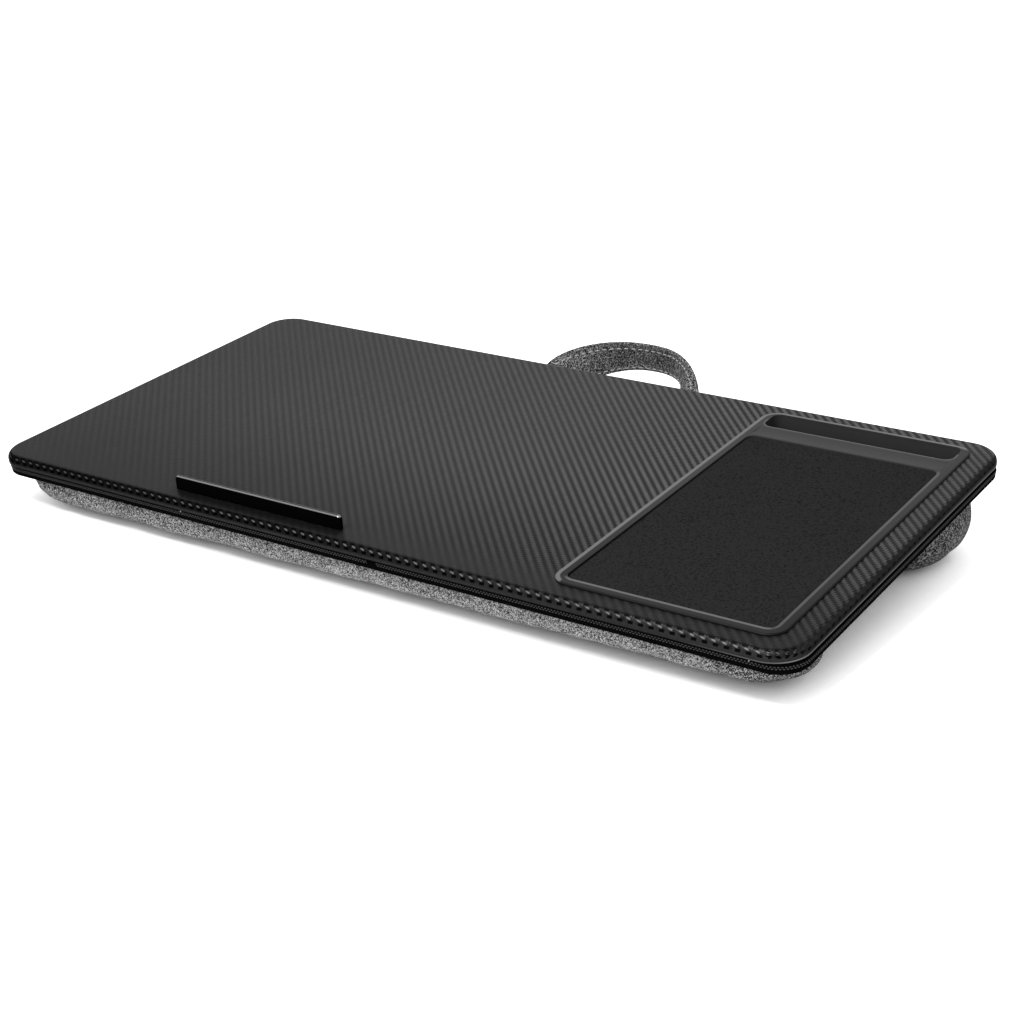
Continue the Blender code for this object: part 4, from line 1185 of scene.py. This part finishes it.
class LAPDESK_OT_band(bpy.types.Operator):
    """Build the woven band round the base, with its knots and its lapped ends"""

    bl_idname = "lapdesk.band"
    bl_label = "Edge band"

    def execute(self, context):
        band = desk_settings(context, "band")
        board = desk_settings(context, "board")
        low, high = board_box("edge_tape")
        low.z -= band.skirt
        inset = board_box("top_wrap")[1].x - high.x
        half_x, half_y = high.x + band.side_reach, high.y
        corner = board.corner - inset
        thickness = 0.7 * MM
        fold_share = 0.6
        line = outline(half_x, half_y, corner, 16)
        lengths = arc_lengths([point for point, _ in line])
        steps = 5
        section = [(-thickness, high.z)]
        for step in range(steps + 1):
            turn = math.pi / 2 * step / steps
            section.append(
                (-band.round * (1 - math.sin(turn)) * fold_share, high.z - band.round * (1 - math.cos(turn)))
            )
        for step in range(steps + 1):
            turn = math.pi / 2 * step / steps
            section.append(
                (-band.round * (1 - math.cos(turn)) * fold_share, low.z + band.round * (1 - math.sin(turn)))
            )
        section.append((-thickness, low.z))
        shape = bmesh.new()
        uv = shape.loops.layers.uv.new("cloth")
        rings = [ring(shape, line, outset, level) for outset, level in section]
        rings.append(rings[0])
        travel = arc_lengths([Vector(part) for part in section])
        travel.append(travel[-1] + high.z - low.z)
        count = len(line)
        around = lengths + [lengths[-1] + (line[0][0] - line[-1][0]).length]
        for r, (before, after) in enumerate(zip(rings, rings[1:])):
            for i in range(count):
                j = (i + 1) % count
                face = shape.faces.new((before[i], before[j], after[j], after[i]))
                places = (
                    (around[i], travel[r]), (around[i + 1], travel[r]),
                    (around[i + 1], travel[r + 1]), (around[i], travel[r + 1]),
                )
                for corner_loop, place in zip(face.loops, places):
                    corner_loop[uv].uv = place
        lap_half = band.lap / 2
        lap_out = 0.55 * MM
        lap = bmesh.ops.create_cube(shape, size=1, matrix=Matrix.Translation((
            band.lap_x, -half_y - lap_out / 2 + thickness / 2, (low.z + high.z) / 2,
        )) @ Matrix.Diagonal((2 * lap_half, lap_out + thickness, high.z - low.z - band.round, 1)))
        lap_edges = {e for v in lap["verts"] for e in v.link_edges}
        bmesh.ops.bevel(
            shape, geom=list(lap_edges), offset=0.4 * MM, offset_type="OFFSET", segments=3, profile=0.5,
            affect="EDGES", clamp_overlap=True,
        )
        for face in shape.faces:
            for corner_loop in face.loops:
                if corner_loop[uv].uv.length < 1e-9:
                    corner_loop[uv].uv = (corner_loop.vert.co.x, corner_loop.vert.co.z)
        piece = to_object("edge_band", shape)
        smooth(piece, math.radians(50))
        twill = twill_cloth("band_twill", band.black, band.thread)
        dress(piece, twill, "desk", "woven_black", "edge_tape")
        rows = []
        for row in range(band.bead_rows):
            level = high.z - band.bead_top - band.bead_step * row
            stagger = 0.5 * (row % 2)
            loop = [Vector((*(point + out * 0.12 * MM), level)) for point, out in line]
            first = loop[0].lerp(loop[1], stagger)
            rows.append([first, *loop[1:], *([loop[0]] if stagger else [])])
        knots = sewn(
            "band_knots", rows, band.bead_pitch, band.bead_length, band.bead_width,
            sewing_thread("band_thread", band.knot), closed=True,
        )
        dress(knots, knots.data.materials[0], "desk", "woven_black")
        ends = []
        for x in THREAD_END_PLACES:
            bottom = Vector((x, -half_y - 0.5 * MM, high.z - 0.6 * MM))
            ends.append([bottom, bottom + Vector((0.5 * MM, -0.3 * MM, band.thread_end * 0.9))])
        threads = sewn(
            "thread_ends", ends, band.thread_end, band.thread_end, 0.8 * MM,
            sewing_thread("loose_thread", (0.75, 0.75, 0.75)),
        )
        dress(threads, threads.data.materials[0], "desk", "woven_black")
        return {"FINISHED"}


class LAPDESK_OT_base(bpy.types.Operator):
    """Dress the base: its cloth, its boards and its screws"""

    bl_idname = "lapdesk.base"
    bl_label = "Base and screws"

    def execute(self, context):
        band = desk_settings(context, "band")
        board = desk_settings(context, "board")
        low, high = board_box("base_cover")
        inset = board_box("top_wrap")[1].x - high.x
        reach = high.x + band.side_reach
        shape = rounded_plate(reach, high.y, board.corner - inset, low.z, low.z + 0.6 * MM, 0)
        cloth = to_object("base_cloth", shape)
        set_box_uv(cloth.data, "cloth")
        smooth(cloth)
        dress(
            cloth, twill_cloth("base_twill", band.black, band.thread), "desk", "woven_black", "base_cover"
        )
        fibre, zinc = pressed_board(), zinc_plate()
        for name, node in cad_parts.items():
            if name in ("top_board", "base_board"):
                node.data.materials.clear()
                node.data.materials.append(fibre)
            elif "_screw_" in name:
                node.data.materials.clear()
                node.data.materials.append(zinc)
        return {"FINISHED"}


def merged_copy(node):
    """A node's shape in board space, with its loose triangles joined up."""
    shape = bmesh.new()
    shape.from_mesh(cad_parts[node].data)
    bmesh.ops.remove_doubles(shape, verts=shape.verts, dist=0.01 * MM)
    bmesh.ops.transform(shape, matrix=BOARD.inverted(), verts=shape.verts)
    return shape


# Where the front foot starts to settle back and over what length, and how the cushions' ends fill
SETTLE_START_X = -80 * MM
SETTLE_RUN = 260 * MM
SETTLE_POWER = 1.5
RIGHT_DRAW_POWER = 3.0
LEFT_DRAW_POWER = 1.4
SWELL_POWER = 0.8


def front_form(cushion, points, low, high):
    """Draws the front cushion's ends in: its back corners are rounder than its front ones, its ends
    slope in towards the foot, and its foot lies further back on the right."""
    half_x, depth = high.x, high.y - low.y
    corner, back = cushion.front_corner, cushion.front_back_corner
    for point in points:
        x = abs(point.x)
        into_corner = max(x - (half_x - corner), 0)
        old_drop = corner - math.sqrt(max(corner ** 2 - min(into_corner, corner) ** 2, 0))
        into_back = max(x - (half_x - back), 0)
        new_drop = back - math.sqrt(max(back ** 2 - min(into_back, back) ** 2, 0))
        front = low.y + old_drop
        share = (depth - new_drop - old_drop) / max(depth - 2 * old_drop, 1 * MM)
        point.y = front + (point.y - front) * max(min(share, 1.0), 0.0)
        below = min(max((high.z - point.z) / (high.z - floor_under(point.y)), 0), 1)
        to_right = min(max((point.x - SETTLE_START_X) / SETTLE_RUN, 0), 1)
        in_front = 1 - min(max((point.y - front) / max(depth - new_drop, 1 * MM), 0), 1)
        point.y += cushion.front_settle * to_right * in_front * below ** SETTLE_POWER
        point.z = high.z - below * (high.z - floor_under(point.y))
        draw_power = RIGHT_DRAW_POWER if point.x > 0 else LEFT_DRAW_POWER
        swell = cushion.front_swell * math.sin(math.pi * below ** SWELL_POWER) if point.x > 0 else 0
        draw = cushion.front_foot_draw * below ** draw_power - swell
        point.x -= draw * point.x / half_x * min((x / half_x) ** 2, 1)


def rear_form(cushion, points, low, high):
    """Lets the rear cushion's ends swell between the seam and the foot."""
    for point in points:
        below = min(max((high.z - point.z) / (high.z - floor_under(point.y)), 0), 1)
        swell = cushion.rear_swell * math.sin(math.pi * below ** SWELL_POWER)
        point.x += swell * point.x / high.x * (point.x / high.x) ** 2


def inflate(piece, cushion, seam_level):
    """Fills a closed cover: it is remeshed, held along its seam and blown up for a few frames."""
    remesh = piece.modifiers.new("remesh", "REMESH")
    remesh.mode = "VOXEL"
    remesh.voxel_size = cushion.voxel
    applied(piece)
    start = np.array([v.co for v in piece.data.vertices])
    held = piece.vertex_groups.new(name="held")
    for index, point in enumerate(start):
        over_floor = point[2] - floor_under(point[1])
        if point[2] > seam_level - cushion.voxel * 0.6 or over_floor < cushion.voxel * 1.1:
            held.add([index], 1.0, "ADD")
    cloth = piece.modifiers.new("cloth", "CLOTH")
    cloth.settings.quality = 6
    cloth.settings.mass = 0.2
    cloth.settings.tension_stiffness = 20
    cloth.settings.compression_stiffness = 20
    cloth.settings.shear_stiffness = 8
    cloth.settings.bending_stiffness = 0.3
    cloth.settings.use_pressure = True
    cloth.settings.uniform_pressure_force = cushion.pressure
    cloth.settings.shrink_min = -cushion.spare_cloth
    cloth.settings.vertex_group_mass = "held"
    cloth.settings.effector_weights.gravity = 0
    scene = bpy.context.scene
    for number in range(1, 21):
        scene.frame_set(number)
    applied(piece)
    scene.frame_set(1)
    return start


def settle(piece, start, cap_length, floor_level):
    """Caps how far each point moved, and presses the foot flat on the floor."""
    for vert, before in zip(piece.data.vertices, start):
        moved = vert.co - Vector(before)
        if moved.length > cap_length:
            moved = moved.normalized() * cap_length
        vert.co = Vector(before) + moved
        vert.co.z = max(vert.co.z, floor_level(vert.co.y))


def floor_under(y):
    """The level, in board space, of the surface that the desk stands on."""
    origin = BOARD.translation
    return -(origin.z + y * math.sin(SLOPE)) / math.cos(SLOPE)


class LAPDESK_OT_cushions(bpy.types.Operator):
    """Fill both cushions and sew their panel under the base"""

    bl_idname = "lapdesk.cushions"
    bl_label = "Cushions"

    def execute(self, context):
        cushion = desk_settings(context, "cushion")
        heather = heather_cloth("heather_cloth", cushion.thread, cushion.dark, cushion.light, 1.55)
        for side in ("front", "rear"):
            node = side + "_cushion_fill"
            low, high = board_box(node)
            shape = merged_copy(node)
            form = front_form if side == "front" else rear_form
            form(cushion, [vert.co for vert in shape.verts], low, high)
            piece = to_object(side + "_cushion", shape)
            start = inflate(piece, cushion, high.z)
            settle(piece, start, cushion.cap, floor_under)
            finer = piece.modifiers.new("finer", "SUBSURF")
            finer.levels = finer.render_levels = 1
            applied(piece)
            set_box_uv(piece.data, "cloth")
            smooth(piece, math.radians(80))
            dress(piece, heather, "desk", "heather_grey", node, side + "_cushion_cover")
        board = desk_settings(context, "board")
        low, high = board_box("cushion_panel")
        inset = board_box("top_wrap")[1].x - high.x
        reach = high.x + desk_settings(context, "band").side_reach
        shape = rounded_plate(reach, high.y, board.corner - inset, low.z, high.z, 0.3 * MM)
        panel = to_object("under_panel", shape)
        set_box_uv(panel.data, "cloth")
        smooth(panel)
        dress(panel, heather, "desk", "heather_grey", "cushion_panel")
        return {"FINISHED"}


def strap_line(handle):
    """The strap's middle line in board space, each point with its turn out of the upright, or None
    where it lies flat. Each end is sewn upright behind the rear cushion and turns flat where it
    leaves the desk, and the strap stands up on edge round the loop."""
    tab_low, tab_high = board_box("handle_tab_left")
    hinge_y = board_box("handle_strap")[0].y
    back = tab_low.y + handle.thickness / 2
    level = tab_high.z - handle.thickness / 2
    tab_steps, bend_steps, loop_steps = 6, 7, 96
    side = []
    for step in range(tab_steps):
        rest = handle.tab * (1 - step / tab_steps)
        side.append((Vector((handle.half_span, back, level - handle.bend - rest)), None))
    for step in range(bend_steps):
        turn = math.pi / 2 * step / bend_steps
        side.append((Vector((
            handle.half_span, back + handle.bend * (1 - math.cos(turn)), level - handle.bend * (
                1 - math.sin(turn)
            ),
        )), None))
    left = [(Vector((-place.x, place.y, place.z)), lean) for place, lean in side]
    loop = []
    for step in range(loop_steps + 1):
        turn = math.pi * step / loop_steps
        swell = math.sin(turn) if 0 < step < loop_steps else 0.0
        along = math.copysign(abs(math.cos(turn)) ** handle.squareness, -math.cos(turn))
        reach = handle.lead + (handle.reach - handle.lead) * swell ** handle.roundness
        place = Vector((handle.half_span * along, hinge_y + reach, level + handle.rise * swell ** 1.1))
        loop.append((place, handle.root_lean + (handle.crest_lean - handle.root_lean) * swell))
    return left + loop + side[::-1]


def strap_frames(handle):
    """(centre, across, outward, distance along) at each station, in board space."""
    stations = strap_line(handle)
    places = [place for place, _ in stations]
    lengths = arc_lengths(places)
    frames = []
    for index, (place, lean) in enumerate(stations):
        before, after = places[max(index - 1, 0)], places[min(index + 1, len(places) - 1)]
        along = (after - before).normalized()
        if lean is None:
            across = Vector((math.copysign(1, place.x), 0, 0))
        else:
            outward = Vector((0, 0, 1)).cross(along).normalized()
            across = Vector((0, 0, 1)) * math.cos(lean) - outward * math.sin(lean)
        across = (across - along * across.dot(along)).normalized()
        frames.append((place, across, along.cross(across).normalized(), lengths[index]))
    return frames


class LAPDESK_OT_handle(bpy.types.Operator):
    """Build the sewn strap of the carrying handle with its rows of stitches"""

    bl_idname = "lapdesk.handle"
    bl_label = "Handle"

    def execute(self, context):
        handle = desk_settings(context, "handle")
        frames = strap_frames(handle)
        half_w, half_t = handle.width / 2, handle.thickness / 2
        section = []
        round_steps = 5
        for side, start in ((1, -90), (-1, 90)):
            for step in range(round_steps + 1):
                turn = math.radians(start + 180 * step / round_steps)
                section.append((side * (half_w - half_t) + half_t * math.cos(turn), half_t * math.sin(turn)))
            if side == 1:
                inner = [(half_w * share, half_t * 0.82) for share in (0.75, 0.4, 0.0, -0.4, -0.75)]
                section += inner
        section += [(half_w * share, -half_t * 0.82) for share in (-0.75, -0.4, 0.0, 0.4, 0.75)]
        shape = bmesh.new()
        uv = shape.loops.layers.uv.new("cloth")
        travel = arc_lengths([Vector(p) for p in section + section[:1]])
        rings = []
        for place, across, outward, _ in frames:
            rings.append([shape.verts.new(place + across * w + outward * t) for w, t in section])
        count = len(section)
        for r in range(len(rings) - 1):
            for i in range(count):
                j = (i + 1) % count
                face = shape.faces.new((rings[r][i], rings[r][j], rings[r + 1][j], rings[r + 1][i]))
                places = (
                    (frames[r][3], travel[i]), (frames[r][3], travel[i + 1]),
                    (frames[r + 1][3], travel[i + 1]), (frames[r + 1][3], travel[i]),
                )
                for corner_loop, place in zip(face.loops, places):
                    corner_loop[uv].uv = place
        cap(shape, rings[0][::-1])
        cap(shape, rings[-1])
        piece = to_object("handle_strap_sewn", shape)
        smooth(piece, math.radians(60))
        piece.data.transform(BOARD)
        piece.data.materials.append(
            heather_cloth("handle_cloth", handle.yarn, handle.dark, handle.light, 3.0)
        )
        thread = sewing_thread("handle_thread", handle.thread_colour)
        rows = []
        lift = half_t * 0.86
        for face_side in (1, -1):
            for level in (half_w - handle.upper_seam, -half_w + handle.lower_seam):
                rows.append(
                    [p + across * level + outward * face_side * lift for p, across, outward, _ in frames]
                )
        stitches = sewn("handle_stitches", rows, handle.stitch_pitch, handle.stitch, handle.thread, thread)
        stitches.data.transform(BOARD)
        loop_low, loop_high = board_box("handle_strap")
        start = BOARD @ Vector((0, loop_low.y + 1 * MM, loop_high.z))
        for made in (piece, stitches):
            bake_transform(made)
        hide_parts("handle_strap", "handle_tab_left", "handle_tab_right")
        return {"FINISHED"}


def area_lamp(name, place, target, size, power):
    data = bpy.data.lights.new(name, "AREA")
    data.shape = "RECTANGLE"
    data.size, data.size_y = size
    data.energy = power
    lamp = bpy.data.objects.new(name, data)
    lamp.location = place
    lamp.rotation_euler = (Vector(target) - Vector(place)).to_track_quat("-Z", "Y").to_euler()
    bpy.context.scene.collection.objects.link(lamp)
    return lamp


def seen_rays(tree):
    """1 for rays from the camera, off gloss and through glass."""
    path = tree.nodes.new("ShaderNodeLightPath")
    total = path.outputs["Is Camera Ray"]
    for name in ("Is Glossy Ray", "Is Transmission Ray"):
        most = tree.nodes.new("ShaderNodeMath")
        most.operation = "MAXIMUM"
        tree.links.new(total, most.inputs[0])
        tree.links.new(path.outputs[name], most.inputs[1])
        total = most.outputs[0]
    return total


# The stage, in metres: the floor's half size and how far it lies under the desk, how far the floor
# looks for what shades it and over which shares of open sky it fades, and the lamps' places and sizes
FLOOR_HALF = 12.0
FLOOR_DROP = 0.2 * MM
SHADE_REACH = 0.6
SHADE_SHARES = (0.1, 0.6)
FLOOR_GLOW = 0.98
DESK_MIDDLE = (0, 0, 0)
KEY_PLACE = (-0.1, -1.0, 1.85)
KEY_SIZE = (0.7, 0.7)
FRONT_PLACE = (-0.1, -1.8, 0.7)
FRONT_SIZE = (1.6, 0.8)


class LAPDESK_OT_stage(bpy.types.Operator):
    """Set the floor, the light and the camera"""

    bl_idname = "lapdesk.stage"
    bl_label = "Stage"

    def execute(self, context):
        stage = desk_settings(context, "stage")
        scene = context.scene
        scene.view_settings.view_transform = "Standard"
        shape = bmesh.new()
        bmesh.ops.create_grid(shape, x_segments=1, y_segments=1, size=FLOOR_HALF)
        floor = to_object("floor", shape)
        floor.location.z = -FLOOR_DROP
        paper = bpy.data.materials.new("white_floor")
        paper.use_nodes = True
        tree = paper.node_tree
        surface = tree.nodes["Principled BSDF"]
        surface.inputs["Base Color"].default_value = (0.95, 0.95, 0.95, 1)
        surface.inputs["Roughness"].default_value = 1.0
        surface.inputs["Specular IOR Level"].default_value = 0.0
        glow = tree.nodes.new("ShaderNodeEmission")
        sky = tree.nodes.new("ShaderNodeAmbientOcclusion")
        sky.samples = 6
        sky.inputs["Distance"].default_value = SHADE_REACH
        reach = tree.nodes.new("ShaderNodeMapRange")
        for socket, value in zip(reach.inputs[1:5], (*SHADE_SHARES, 0.0, FLOOR_GLOW)):
            socket.default_value = value
        tree.links.new(sky.outputs["AO"], reach.inputs[0])
        tree.links.new(reach.outputs[0], glow.inputs["Strength"])
        both = tree.nodes.new("ShaderNodeAddShader")
        choose = tree.nodes.new("ShaderNodeMixShader")
        output = tree.nodes["Material Output"]
        tree.links.new(surface.outputs[0], both.inputs[0])
        tree.links.new(glow.outputs[0], both.inputs[1])
        tree.links.new(seen_rays(tree), choose.inputs[0])
        tree.links.new(surface.outputs[0], choose.inputs[1])
        tree.links.new(both.outputs[0], choose.inputs[2])
        tree.links.new(choose.outputs[0], output.inputs[0])
        floor.data.materials.append(paper)
        world = bpy.data.worlds.new("studio")
        scene.world = world
        world.use_nodes = True
        tree = world.node_tree
        even = tree.nodes["Background"]
        even.inputs["Color"].default_value = (1, 1, 1, 1)
        even.inputs["Strength"].default_value = stage.ambient
        white = tree.nodes.new("ShaderNodeBackground")
        choose = tree.nodes.new("ShaderNodeMixShader")
        tree.links.new(seen_rays(tree), choose.inputs[0])
        tree.links.new(even.outputs[0], choose.inputs[1])
        tree.links.new(white.outputs[0], choose.inputs[2])
        tree.links.new(choose.outputs[0], tree.nodes["World Output"].inputs[0])
        area_lamp("key_lamp", KEY_PLACE, DESK_MIDDLE, KEY_SIZE, stage.key)
        area_lamp("front_lamp", FRONT_PLACE, DESK_MIDDLE, FRONT_SIZE, stage.front)
        lens = bpy.data.cameras.new("photo_camera")
        lens.lens = stage.lens
        lens.sensor_width = 36
        lens.clip_start, lens.clip_end = 0.01, 50
        camera = bpy.data.objects.new("photo_camera", lens)
        camera.location = (stage.camera_x, stage.camera_y, stage.camera_z)
        camera.rotation_euler = (stage.camera_pitch, 0, stage.camera_heading)
        scene.collection.objects.link(camera)
        scene.camera = camera
        return {"FINISHED"}


class LAPDESK_PT_panel(bpy.types.Panel):
    """Lists the steps that dress the desk"""

    bl_idname = "LAPDESK_PT_panel"
    bl_label = "Lap Desk"
    bl_space_type = "VIEW_3D"
    bl_region_type = "UI"
    bl_category = "Lap Desk"

    def draw(self, context):
        for step in STEPS:
            self.layout.operator(step.bl_idname)


GROUPS = {
    "board": LAPDESK_PG_board,
    "tray": LAPDESK_PG_tray,
    "ledge": LAPDESK_PG_ledge,
    "band": LAPDESK_PG_band,
    "cushion": LAPDESK_PG_cushion,
    "handle": LAPDESK_PG_handle,
    "stage": LAPDESK_PG_stage,
}
STEPS = (
    LAPDESK_OT_wrap, LAPDESK_OT_tray, LAPDESK_OT_pad, LAPDESK_OT_ledge, LAPDESK_OT_band, LAPDESK_OT_base,
    LAPDESK_OT_cushions, LAPDESK_OT_handle, LAPDESK_OT_stage,
)


def register():
    for made in (*GROUPS.values(), *STEPS, LAPDESK_PT_panel):
        bpy.utils.register_class(made)
    for name, group in GROUPS.items():
        setattr(bpy.types.Scene, "lapdesk_" + name, PointerProperty(type=group))


def unregister():
    for name in GROUPS:
        delattr(bpy.types.Scene, "lapdesk_" + name)
    for made in reversed((*GROUPS.values(), *STEPS, LAPDESK_PT_panel)):
        bpy.utils.unregister_class(made)


def main():
    register()
    for step in STEPS:
        area, name = step.bl_idname.split(".")
        getattr(getattr(bpy.ops, area), name)()
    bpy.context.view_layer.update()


if __name__ == "__main__":
    main()
